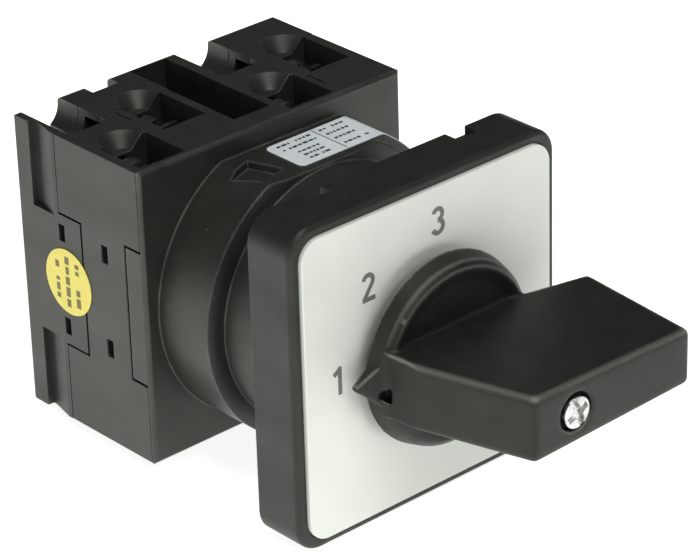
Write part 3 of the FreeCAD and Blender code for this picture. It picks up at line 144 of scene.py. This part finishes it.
# The handle's screw
HEAD_SHARE = 0.88       # the head's radius as a share of the room it has
HEAD_SPOKES = 144
HEAD_RINGS = 34
HEAD_FLAT = 0.97        # where the domed face ends, as a share of the radius
HEAD_CHAMFER = 0.15
HEAD_CREASE = 40
DOME_RISE = 0.45        # how much higher the head's middle is than its rim
RECESS_DEEP = 0.95
RECESS_WALL = 0.12      # width over which the recess's wall falls
RECESS_CONE = 0.35      # share of its depth that the cross loses towards its ends
CROSS_HALF = 0.5
CROSS_REACH = 1.75
CROSS_TURN = 24         # how far the cross is turned from upright
SLOT_HALF = 0.3
SLOT_DEPTH = 0.45       # the slot's depth as a share of the cross's
SHANK_RADIUS = 1.5
SHANK_LENGTH = 13.3     # from under the head to the screw's end

# Stage
CAMERA_AZIMUTH = -41.458
CAMERA_ELEVATION = 27.389
CAMERA_ROLL = -1.733
CAMERA_DISTANCE = 475.42
CAMERA_AIM = (-6.45, 0.0, 9.003)
CAMERA_LENS = 183.5
CAMERA_NEAR = 10
FLOOR_GAP = 0.05        # distance below the object, so that no two faces coincide
FLOOR_SIZE = 3.0        # metres
FLOOR_CELLS = 8
FLOOR_LIGHT = 1.06      # strength with which the floor lights the object
FLOOR_SHOWN = 0.86      # strength with which the camera sees it, before the lights add theirs
ROOM_COLOUR = (1.0, 1.0, 0.99, 1.0)
ROOM_STRENGTH = 0.1
SOFTBOXES = (           # name, azimuth, elevation, distance and width in metres, watts
    ("left_softbox", -95, 12, 0.9, 0.5, 0.9),
    ("front_softbox", -10, 40, 1.1, 0.6, 3.5),
    ("top_softbox", -20, 80, 1.2, 0.8, 6.6),
)


# ---------------------------------------------------------------- shader building

def linear(hex_colour, scale=1.0):
    """Linear RGBA from a hex colour as seen on a screen, made darker or lighter by scale."""
    values = [int(hex_colour[i:i + 2], 16) / 255 for i in (0, 2, 4)]
    values = [v / 12.92 if v <= 0.04045 else ((v + 0.055) / 1.055) ** 2.4 for v in values]
    return [v * scale for v in values] + [1.0]


class Shader:
    """A Principled material whose nodes are added one call at a time."""

    def __init__(self, name, **settings):
        self.material = bpy.data.materials.new(name)
        self.material.use_nodes = True
        self.tree = self.material.node_tree
        self.surface = self.tree.nodes["Principled BSDF"]
        for key, value in settings.items():
            self.surface.inputs[key.replace("_", " ")].default_value = value
        self.place = self.add("ShaderNodeTexCoord").outputs["Object"]

    def add(self, kind, **settings):
        """A new node. Capitalised settings are its inputs, and others are its properties."""
        node = self.tree.nodes.new(kind)
        for key, value in settings.items():
            if key[0].isupper():
                self.join(value, node.inputs[key.replace("_", " ")])
            else:
                setattr(node, key, value)
        return node

    def join(self, value, socket):
        """Link an input to another node's output, or set it to a plain value."""
        if isinstance(value, bpy.types.NodeSocket):
            self.tree.links.new(value, socket)
        else:
            socket.default_value = value

    def noise(self, size, detail=3.0, stretch=(1, 1, 1)):
        """Noise whose features are about this many millimetres across."""
        scaled = self.add("ShaderNodeMapping", Vector=self.place, Scale=stretch)
        texture = self.add("ShaderNodeTexNoise", Vector=scaled.outputs["Vector"],
                           Scale=1 / (size * MM), Detail=detail)
        return texture.outputs["Fac"]

    def ramp(self, value, low, high, start=0.0, end=1.0):
        """Map a value from low..high to start..end, and hold it outside."""
        node = self.add("ShaderNodeMapRange", Value=value, From_Min=low, From_Max=high,
                        To_Min=start, To_Max=end)
        return node.outputs["Result"]

    def blend(self, factor, first, second):
        """From the first colour to the second as the factor goes from 0 to 1."""
        node = self.add("ShaderNodeMix", data_type="RGBA", Factor=factor)
        inputs = [socket for socket in node.inputs if socket.type == "RGBA"]
        for value, socket in zip((first, second), inputs):
            self.join(value, socket)
        return next(socket for socket in node.outputs if socket.type == "RGBA")

    def mottled(self, cloud, first, second, low=0.3, high=0.7):
        """Two colours in soft patches."""
        return self.blend(self.ramp(cloud, low, high), first, second)

    def math(self, operation, first, second=0.0):
        node = self.add("ShaderNodeMath", operation=operation)
        self.join(first, node.inputs[0])
        self.join(second, node.inputs[1])
        return node.outputs["Value"]

    def bump(self, height, depth, strength=1.0, normal=None):
        """Raise the surface by up to this many millimetres."""
        node = self.add("ShaderNodeBump", Height=height, Distance=depth * MM, Strength=strength)
        if normal is not None:
            self.join(normal, node.inputs["Normal"])
        return node.outputs["Normal"]

    def specks(self, spacing, size, share):
        """1 inside small round spots, of which only this share is there."""
        cells = self.add("ShaderNodeTexVoronoi", Vector=self.place, Scale=1 / (spacing * MM))
        spot = self.ramp(cells.outputs["Distance"], size, size * 0.6)
        chosen = self.ramp(cells.outputs["Color"], share, share - 0.01)
        return self.math("MULTIPLY", spot, chosen)

    def edges(self, radius):
        """1 along sharp outer edges and 0 on flat faces."""
        soft = self.add("ShaderNodeBevel", samples=4, Radius=radius * MM)
        geometry = self.add("ShaderNodeNewGeometry")
        facing_out = self.add("ShaderNodeVectorMath", operation="DOT_PRODUCT")
        self.join(soft.outputs["Normal"], facing_out.inputs[0])
        self.join(geometry.outputs["Normal"], facing_out.inputs[1])
        return self.ramp(facing_out.outputs["Value"], 0.995, 0.9)

    def ridges(self):
        """1 where a finely meshed surface is clearly convex and faces up: the mask of a painted
        highlight.
        """
        geometry = self.add("ShaderNodeNewGeometry")
        up = self.add("ShaderNodeSeparateXYZ", Vector=geometry.outputs["Normal"]).outputs["Z"]
        convex = self.ramp(geometry.outputs["Pointiness"], 0.504, 0.524)
        return self.math("MULTIPLY", convex, self.ramp(up, 0.15, 0.7))

    def finish(self, colour=None, roughness=None, normal=None):
        for value, key in ((colour, "Base Color"), (roughness, "Roughness"), (normal, "Normal")):
            if value is not None:
                self.join(value, self.surface.inputs[key])
        return self.material


# ---------------------------------------------------------------- materials

def moulded_plastic(name, colour, grain, depth, roughness, scuff_and_highlight=0.35, edge=0.22, ridge_highlight=0.0,
                    dust=0.5, reflect=0.5):
    """Spark-eroded black plastic: grain, faint flow marks, edges rubbed paler, a few specks.

    The grain and its depth are in millimetres, as is the width of the pale edge band. The edges'
    paleness is partly scuffing and partly a painted highlight; the ridge setting is how pale a
    painted highlight makes the tops of up-facing ridges, and dust how pale the specks.
    """
    shader = Shader(name, Specular_IOR_Level=reflect, Specular_Tint=(1.0, 1.0, 0.92, 1.0))
    tone = shader.noise(3.5, detail=2)
    flow = shader.noise(6.0, detail=2, stretch=(1, 0.25, 1))
    base = shader.mottled(tone, linear(colour, 0.82), linear(colour, 1.2))
    # Pale edge band: partly scuffing from use, partly a painted highlight where light would catch
    # the rounded edges.
    edge_paleness = shader.ramp(tone, 0.35, 0.75, scuff_and_highlight / 3, scuff_and_highlight)
    scuff_and_highlight_mask = shader.math("MULTIPLY", shader.edges(edge), edge_paleness)
    base = shader.blend(scuff_and_highlight_mask, base, linear("6c6d66"))
    # Painted highlight: up-facing convex ridges are made paler, as light would catch them.
    if ridge_highlight:
        lit = shader.math("MULTIPLY", shader.ridges(), ridge_highlight)
        base = shader.blend(lit, base, linear("7d7e76"))
    specks = shader.math("MULTIPLY", shader.specks(1.3, 0.09, 0.12), dust)
    dusty = shader.blend(specks, base, linear("b5b6ae"))
    gloss = shader.ramp(flow, 0.3, 0.7, roughness - 0.05, roughness + 0.05)
    fine = shader.bump(shader.noise(grain, detail=4), depth)
    return shader.finish(dusty, gloss, shader.bump(tone, depth * 2, 0.4, fine))


def dial_enamel():
    """Satin pale dial with a slight orange-peel surface."""
    shader = Shader("dial_enamel")
    cloud = shader.noise(9.0, detail=2)
    colour = shader.mottled(cloud, linear("d8dcd4"), linear("dfe2da"))
    gloss = shader.ramp(cloud, 0.3, 0.7, 0.36, 0.44)
    return shader.finish(colour, gloss, shader.bump(shader.noise(0.5), 0.006))


def metal(name, colour, roughness, scratch=0.004, tarnish=0.15):
    """Plated or plain metal with fine drawn lines and a slight uneven film."""
    shader = Shader(name, Metallic=1.0)
    film = shader.noise(0.9, detail=4)
    lines = shader.noise(0.12, detail=2, stretch=(1, 1, 0.12))
    tone = shader.mottled(film, linear(colour, 1 - tarnish * 2), linear(colour), 0.35)
    gloss = shader.ramp(film, 0.25, 0.75, roughness - 0.07, roughness + 0.09)
    return shader.finish(tone, gloss, shader.bump(lines, scratch))


def rubber():
    """Soft dull rubber with a fine rough surface."""
    shader = Shader("soft_rubber")
    colour = shader.mottled(shader.noise(1.4), linear("161615"), linear("232321"))
    return shader.finish(colour, 0.72, shader.bump(shader.noise(0.2, detail=4), 0.02))


def nylon(name, colour):
    """Translucent-looking engineering nylon."""
    shader = Shader(name, Subsurface_Weight=0.15, Subsurface_Radius=(0.002, 0.002, 0.0018),
                    Subsurface_Scale=0.5)
    cloud = shader.noise(2.2)
    tone = shader.mottled(cloud, linear(colour, 0.86), linear(colour))
    gloss = shader.ramp(cloud, 0.3, 0.7, 0.4, 0.52)
    return shader.finish(tone, gloss, shader.bump(shader.noise(0.25), 0.008))


def printed_film(name, colour, roughness):
    """Thin self-adhesive film: smooth, with slight waves where it lies on the plastic."""
    shader = Shader(name)
    cloud = shader.noise(1.8, detail=2)
    tone = shader.mottled(cloud, linear(colour, 0.93), linear(colour))
    return shader.finish(tone, roughness, shader.bump(shader.noise(2.6, detail=1), 0.03))


def ink(name, colour):
    """Screen-printed ink: flat, slightly uneven in strength."""
    shader = Shader(name, Roughness=0.55)
    cloud = shader.noise(0.35, detail=3)
    return shader.finish(shader.mottled(cloud, linear(colour), linear(colour, 1.25), 0.35))


def studio_floor():
    """White sweep: it lights the object from below, and shows near white with a soft shadow."""
    shader = Shader("studio_floor", Roughness=0.95, Specular_IOR_Level=0.0)
    cloud = shader.noise(180, detail=1)
    seen = shader.add("ShaderNodeLightPath").outputs["Is Camera Ray"]
    glow = shader.ramp(seen, 0, 1, FLOOR_LIGHT, FLOOR_SHOWN)
    shader.surface.inputs["Emission Color"].default_value = linear("fffffe")
    shader.join(glow, shader.surface.inputs["Emission Strength"])
    return shader.finish(shader.blend(cloud, linear("f2f2f1"), linear("f7f7f6")))


MATERIALS = {
    "black_housing": moulded_plastic("black_housing", "242421", 0.16, 0.018, 0.46),
    "black_frame": moulded_plastic("black_frame", "1d1f1b", 0.26, 0.03, 0.5, scuff_and_highlight=0.5,
                                   reflect=0.4),
    # The handle's pale ridge tops are a painted highlight.
    "black_handle": moulded_plastic("black_handle", "1c1e1a", 0.24, 0.024, 0.48, scuff_and_highlight=0,
                                    ridge_highlight=0.75, dust=0.1, reflect=0.3),
    "dial_face": dial_enamel(),
    "dark_rubber": rubber(),
    "zinc_steel": metal("zinc_steel", "d6d7d4", 0.26),
    "shaft_steel": metal("shaft_steel", "c2c3c1", 0.34),
    "spring_steel": metal("spring_steel", "a9aaac", 0.3),
    "contact_copper": metal("contact_copper", "d9b27a", 0.32),
    "silver_tip": metal("silver_tip", "e2e1dc", 0.22),
    "grey_nylon": nylon("grey_nylon", "b0b1ae"),
    "white_nylon": nylon("white_nylon", "e6e3d9"),
    "label_film": printed_film("label_film", "e9eff1", 0.34),
    "yellow_sticker": printed_film("yellow_sticker", "e9db62", 0.42),
}
# The cover plastic's broad pale edge band is a painted highlight on the cover's rounded front
# edge.
COVER_PLASTIC = moulded_plastic("cover_plastic", "242421", 0.2, 0.022, 0.46, scuff_and_highlight=0.85, edge=0.5)
# Darker than the other plated steel: painted shade for the terminals, which sit down in their
# pockets.
TERMINAL_STEEL = metal("terminal_steel", "7b7c78", 0.42, tarnish=0.25)
OWN_MATERIAL = {"terminal_screws": TERMINAL_STEEL, "terminal_clamps": TERMINAL_STEEL,
                "detent_housing": COVER_PLASTIC}
DIAL_INK = ink("dial_ink", "646963")
LABEL_INK = ink("label_ink", "3d454b")
STICKER_INK = ink("sticker_ink", "6b632e")


# ---------------------------------------------------------------- mesh building

def box_of(node):
    """A node's lowest and highest corners, in millimetres."""
    return [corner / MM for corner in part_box(node)]


def shown_object(name, bm):
    """An object in the scene that holds a bmesh."""
    mesh = bpy.data.meshes.new(name)
    bm.to_mesh(mesh)
    bm.free()
    thing = bpy.data.objects.new(name, mesh)
    bpy.context.collection.objects.link(thing)
    return thing


def new_piece(name, bm, node, material=None, replaces=False):
    """A piece that rides on a node's body and takes its finish, and may stand for the node."""
    piece = shown_object(name, bm)
    piece.data.materials.append(material or MATERIALS[SLOT_OF[node]])
    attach(piece, BODY_OF[node])
    if replaces:
        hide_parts(node)
    return piece


def shade(bm, angle=CREASE_ANGLE):
    """Smooth shading, broken along edges sharper than this angle."""
    for face in bm.faces:
        face.smooth = True
    for edge in bm.edges:
        angle_here = edge.calc_face_angle(0.0)
        edge.smooth = len(edge.link_faces) == 2 and angle_here < math.radians(angle)


def surface_of(node):
    """A clean copy of a CAD node's surface: one vertex per corner and whole flat faces."""
    bm = bmesh.new()
    bm.from_mesh(NODES[node].data)
    for layer in list(bm.loops.layers.uv):
        bm.loops.layers.uv.remove(layer)
    bmesh.ops.remove_doubles(bm, verts=bm.verts, dist=WELD * MM)
    bmesh.ops.dissolve_limit(bm, verts=bm.verts, edges=bm.edges,
                             angle_limit=math.radians(FLAT_ANGLE), use_dissolve_boundaries=False)
    return bm


def rounded(node, width):
    """The CAD node's surface with every sharp edge rounded.

    The flat faces are cut into triangles first: a many-sided face whose edges are drawn in
    can fold over itself and close the openings in it.
    """
    bm = surface_of(node)
    bmesh.ops.triangulate(bm, faces=bm.faces)
    sharp = [edge for edge in bm.edges if len(edge.link_faces) == 2
             and edge.calc_face_angle(0.0) > math.radians(SHARP_ANGLE)
             and edge.calc_length() > width * MM * SHORTEST_EDGE]
    bmesh.ops.bevel(bm, geom=sharp, offset=width * MM, offset_type="OFFSET",
                    segments=ROUND_STEPS, profile=0.5, affect="EDGES", clamp_overlap=False)
    bmesh.ops.recalc_face_normals(bm, faces=bm.faces)
    shade(bm)
    piece = new_piece(node + "_finished", bm, node, OWN_MATERIAL.get(node), replaces=True)
    piece.modifiers.new("even_normals", "WEIGHTED_NORMAL").keep_sharp = True


def draft_grip(bm):
    """Thin the grip towards its front face and its tip, but leave the screw's hole round."""
    for vert in bm.verts:
        reach = (-vert.co.y / MM - DRAFT_START) / DRAFT_LENGTH
        along = (vert.co.x / MM - DRAFT_LEFT) / DRAFT_WIDE
        if reach > 0 and abs(vert.co.z) > DRAFT_CORE * MM:
            vert.co.z *= 1 - DRAFT_SHARE * min(reach, 1) * min(max(along, 0), 1)


def build_knob(node):
    """The handle, remeshed and relaxed so that its parts flow into one moulding."""
    bm = surface_of(node)
    draft_grip(bm)
    sharp = shown_object(node + "_sharp", bm)
    remesh = sharp.modifiers.new("voxels", "REMESH")
    remesh.mode = "VOXEL"
    remesh.voxel_size = KNOB_VOXEL * MM
    relax = sharp.modifiers.new("relax", "SMOOTH")
    relax.iterations = KNOB_PASSES
    relax.factor = RELAX_FACTOR
    soft = bmesh.new()
    soft.from_object(sharp, bpy.context.evaluated_depsgraph_get())
    bpy.data.objects.remove(sharp)
    for face in soft.faces:
        face.smooth = True
    new_piece(node + "_finished", soft, node, replaces=True)


def build_spring(node):
    """A copy of the coil with a mesh of its own, standing for the CAD node on the same body."""
    bm = bmesh.new()
    bm.from_mesh(NODES[node].data)
    piece = new_piece(node + "_finished", bm, node, replaces=True)
    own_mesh(piece)


def keep_cad(node):
    """A node whose CAD surface is right as it is: only its material changes."""
    mesh = NODES[node].data
    mesh.materials.clear()
    mesh.materials.append(MATERIALS[SLOT_OF[node]])


# ---------------------------------------------------------------- print

def arc(centre, radius, start, end):
    """Points along a circle's arc."""
    turns = [math.radians(start + (end - start) * i / ARC_STEPS) for i in range(ARC_STEPS + 1)]
    return [(centre[0] + radius * math.cos(a), centre[1] + radius * math.sin(a)) for a in turns]


def ribbon(bm, points, width, thickness, place):
    """A flat stroke of ink along the points; place puts (across, up, out) on the surface."""
    sections = []
    for i, point in enumerate(points):
        before = Vector(points[max(i - 1, 0)])
        after = Vector(points[min(i + 1, len(points) - 1)])
        along = (after - before).normalized()
        side = Vector((-along.y, along.x)) * width / 2
        left, right = Vector(point) + side, Vector(point) - side
        corners = [(left, 0.0), (right, 0.0), (right, thickness), (left, thickness)]
        sections.append([bm.verts.new(place(p.x, p.y, out)) for p, out in corners])
    for first, second in zip(sections, sections[1:]):
        for i in range(4):
            j = (i + 1) % 4
            bm.faces.new((first[i], first[j], second[j], second[i]))
    bm.faces.new(sections[0][::-1])
    bm.faces.new(sections[-1])


def print_piece(name, bm, node, material):
    bmesh.ops.recalc_face_normals(bm, faces=bm.faces)
    new_piece(name, bm, node, material)


def digit_strokes(digit):
    """Centre lines of a digit, about its own middle."""
    half_w, half_h = (DIGIT_WIDE - DIGIT_STROKE) / 2, (DIGIT_HIGH - DIGIT_STROKE) / 2
    top = half_h + DIGIT_STROKE / 2
    if digit == "1":
        stem = half_w * ONE_STEM
        flag = [(stem, top - DIGIT_STROKE * 0.55), (stem - ONE_FLAG[0], half_h - ONE_FLAG[1])]
        return [[(stem, -top), (stem, top)], flag]
    if digit == "2":
        bowl = arc((0, half_h - half_w), half_w, *TWO_BOWL)
        foot_start = (-half_w - DIGIT_STROKE * 0.35, -half_h)
        foot_end = (half_w + DIGIT_STROKE / 2, -half_h)
        return [bowl + [(-half_w, -half_h)], [foot_start, foot_end]]
    upper = half_h * THREE_SPLIT
    lower = half_h - upper
    return [arc((0, half_h - upper), upper, *THREE_UPPER),
            arc((0, -half_h + lower), lower, *THREE_LOWER)]


def print_dial():
    """The position numbers, each its own piece of ink on the dial."""
    front = box_of("dial_plate")[0].y
    for digit, (x, z) in DIGIT_PLACES.items():
        def place(across, up, out):
            return Vector(((x + across) * MM, (front - out) * MM, (z + up) * MM))

        bm = bmesh.new()
        for number, stroke in enumerate(digit_strokes(digit), start=1):
            ribbon(bm, stroke, DIGIT_STROKE, INK_THICK * number, place)
        print_piece(f"dial_number_{digit}", bm, "dial_plate", DIAL_INK)


def print_rows(name, rows, high, seed, place, node, material):
    """Rows of short dashes that stand for small print; each row is (start, end, across)."""
    chance = random.Random(seed)
    bm = bmesh.new()
    for start, end, across in rows:
        spot = start
        while spot < end - high / 2:
            length = min(high * chance.uniform(*DASH_LENGTHS), end - spot)
            if chance.random() < DASH_CHANCE:
                width = high * chance.uniform(DASH_THINNEST, 1)
                ribbon(bm, [(spot, across), (spot + length, across)], width, INK_THICK, place)
            spot += length + high * DASH_GAP
    print_piece(name, bm, node, material)


def print_label():
    """Two columns of small print either side of a thin dividing line."""
    low, high = box_of("rating_label")
    line = low.x + LABEL_COLUMN

    def place(across, along, out):
        return Vector((across, along, high.z + out)) * MM

    rows = []
    for side, start, end, drops in LABEL_ROWS:
        if side == "left":
            rows += [(low.x + start, line - end, high.y - drop) for drop in drops]
        else:
            rows += [(line + start, line + end, high.y - drop) for drop in drops]
    print_rows("label_print", rows, LABEL_PRINT_HIGH, LABEL_SEED, place, "rating_label", LABEL_INK)
    bm = bmesh.new()
    ends = [(line, low.y + LABEL_LINE_INSET), (line, high.y - LABEL_LINE_INSET)]
    ribbon(bm, ends, LABEL_LINE, INK_THICK, place)
    print_piece("label_line", bm, "rating_label", LABEL_INK)


def print_sticker():
    """Three rows of dashes that run down the disc."""
    low, high = box_of("date_sticker")
    middle = (low.y + high.y) / 2

    def place(along, across, out):
        return Vector((low.x - out, across, along)) * MM

    rows = [(-half, half, middle + offset) for half, offset in STICKER_ROWS]
    print_rows("sticker_print", rows, STICKER_PRINT_HIGH, STICKER_SEED, place, "date_sticker",
               STICKER_INK)


# ---------------------------------------------------------------- handle screw

def recess_share(x, z):
    """How far the driver recess is sunk at a point of the head, from 0 to 1."""
    turn = math.radians(CROSS_TURN)
    a = x * math.cos(turn) + z * math.sin(turn)
    b = -x * math.sin(turn) + z * math.cos(turn)

    def inside(distance, half):
        return min(1.0, max(0.0, (half - abs(distance)) / RECESS_WALL + 0.5))

    cross = max(inside(a, CROSS_HALF) * inside(b, CROSS_REACH),
                inside(b, CROSS_HALF) * inside(a, CROSS_REACH))
    slot = inside(a, SLOT_HALF) * SLOT_DEPTH
    return max(cross * (1.0 - RECESS_CONE * math.hypot(a, b) / CROSS_REACH), slot)


def build_screw(node):
    """Domed combination head with a cross and a slot, on its plain shank."""
    low, high = box_of(node)
    radius = (high.x - low.x) / 2 * HEAD_SHARE
    bm = bmesh.new()

    def face_depth(x, z):
        dome = DOME_RISE * (x * x + z * z) / radius ** 2
        return low.y + dome + RECESS_DEEP * recess_share(x, z)

    def ring(size, depth):
        """A circle of vertices; depth is a number or a function of the place."""
        spots = []
        for i in range(HEAD_SPOKES):
            angle = 2 * math.pi * i / HEAD_SPOKES
            x, z = size * math.cos(angle), size * math.sin(angle)
            y = depth(x, z) if callable(depth) else depth
            spots.append(bm.verts.new(Vector((x, y, z)) * MM))
        return spots

    edge, under = low.y + DOME_RISE + HEAD_CHAMFER, high.y - SHANK_LENGTH
    loops = [ring(radius * HEAD_FLAT * i / HEAD_RINGS, face_depth)
             for i in range(1, HEAD_RINGS + 1)]
    loops += [ring(size, depth) for size, depth in (
        (radius, edge), (radius, under), (SHANK_RADIUS, under), (SHANK_RADIUS, high.y))]
    for first, second in zip(loops, loops[1:]):
        for i in range(HEAD_SPOKES):
            j = (i + 1) % HEAD_SPOKES
            bm.faces.new((first[i], first[j], second[j], second[i]))
    for loop, depth in ((loops[0], face_depth(0, 0)), (loops[-1], high.y)):
        tip = bm.verts.new((0, depth * MM, 0))
        for i in range(HEAD_SPOKES):
            bm.faces.new((tip, loop[i], loop[(i + 1) % HEAD_SPOKES]))
    bmesh.ops.recalc_face_normals(bm, faces=bm.faces)
    shade(bm, HEAD_CREASE)
    new_piece(node + "_finished", bm, node, replaces=True)


# ---------------------------------------------------------------- stage

def towards(azimuth, elevation):
    """Unit vector towards a viewer: azimuth 0 is the user's side, elevation is above level."""
    az, el = math.radians(azimuth), math.radians(elevation)
    return Vector((math.sin(az) * math.cos(el), -math.cos(az) * math.cos(el), math.sin(el)))


def facing(position, back, roll=0.0):
    """Placement that looks against the vector back, with +Z up, then rolled."""
    turn = back.to_track_quat("Z", "Y").to_matrix().to_4x4()
    return Matrix.Translation(position) @ turn @ Matrix.Rotation(math.radians(roll), 4, "Z")


def add_camera():
    camera = bpy.data.objects.new("camera", bpy.data.cameras.new("camera"))
    back = towards(CAMERA_AZIMUTH, CAMERA_ELEVATION)
    position = Vector(CAMERA_AIM) * MM + back * CAMERA_DISTANCE * MM
    camera.matrix_world = facing(position, back, CAMERA_ROLL)
    camera.data.lens = CAMERA_LENS
    camera.data.clip_start = CAMERA_NEAR * MM
    bpy.context.collection.objects.link(camera)
    bpy.context.scene.camera = camera


def add_softbox(name, azimuth, elevation, distance, size, power):
    light = bpy.data.objects.new(name, bpy.data.lights.new(name, "AREA"))
    light.data.shape = "DISK"
    light.data.size = size
    light.data.energy = power
    back = towards(azimuth, elevation)
    light.matrix_world = facing(back * distance, back)
    bpy.context.collection.objects.link(light)


def add_floor():
    bm = bmesh.new()
    bmesh.ops.create_grid(bm, x_segments=FLOOR_CELLS, y_segments=FLOOR_CELLS, size=FLOOR_SIZE)
    floor = shown_object("floor", bm)
    floor.location.z = cad_box[0].z - FLOOR_GAP * MM
    floor.data.materials.append(studio_floor())


def add_studio():
    scene = bpy.context.scene
    scene.view_settings.view_transform = "Standard"
    room = bpy.data.worlds.new("studio")
    room.use_nodes = True
    background = room.node_tree.nodes["Background"]
    background.inputs["Color"].default_value = ROOM_COLOUR
    background.inputs["Strength"].default_value = ROOM_STRENGTH
    scene.world = room
    for softbox in SOFTBOXES:
        add_softbox(*softbox)


# ---------------------------------------------------------------- the whole switch

for node_name in NODES:
    if node_name in PRESSED:
        build_spring(node_name)
    elif node_name == "handle_knob":
        build_knob(node_name)
    elif node_name == "handle_screw":
        build_screw(node_name)
    elif node_name in ROUNDED:
        rounded(node_name, ROUNDED[node_name])
    else:
        keep_cad(node_name)
print_dial()
print_label()
print_sticker()

add_floor()
add_studio()
add_camera()
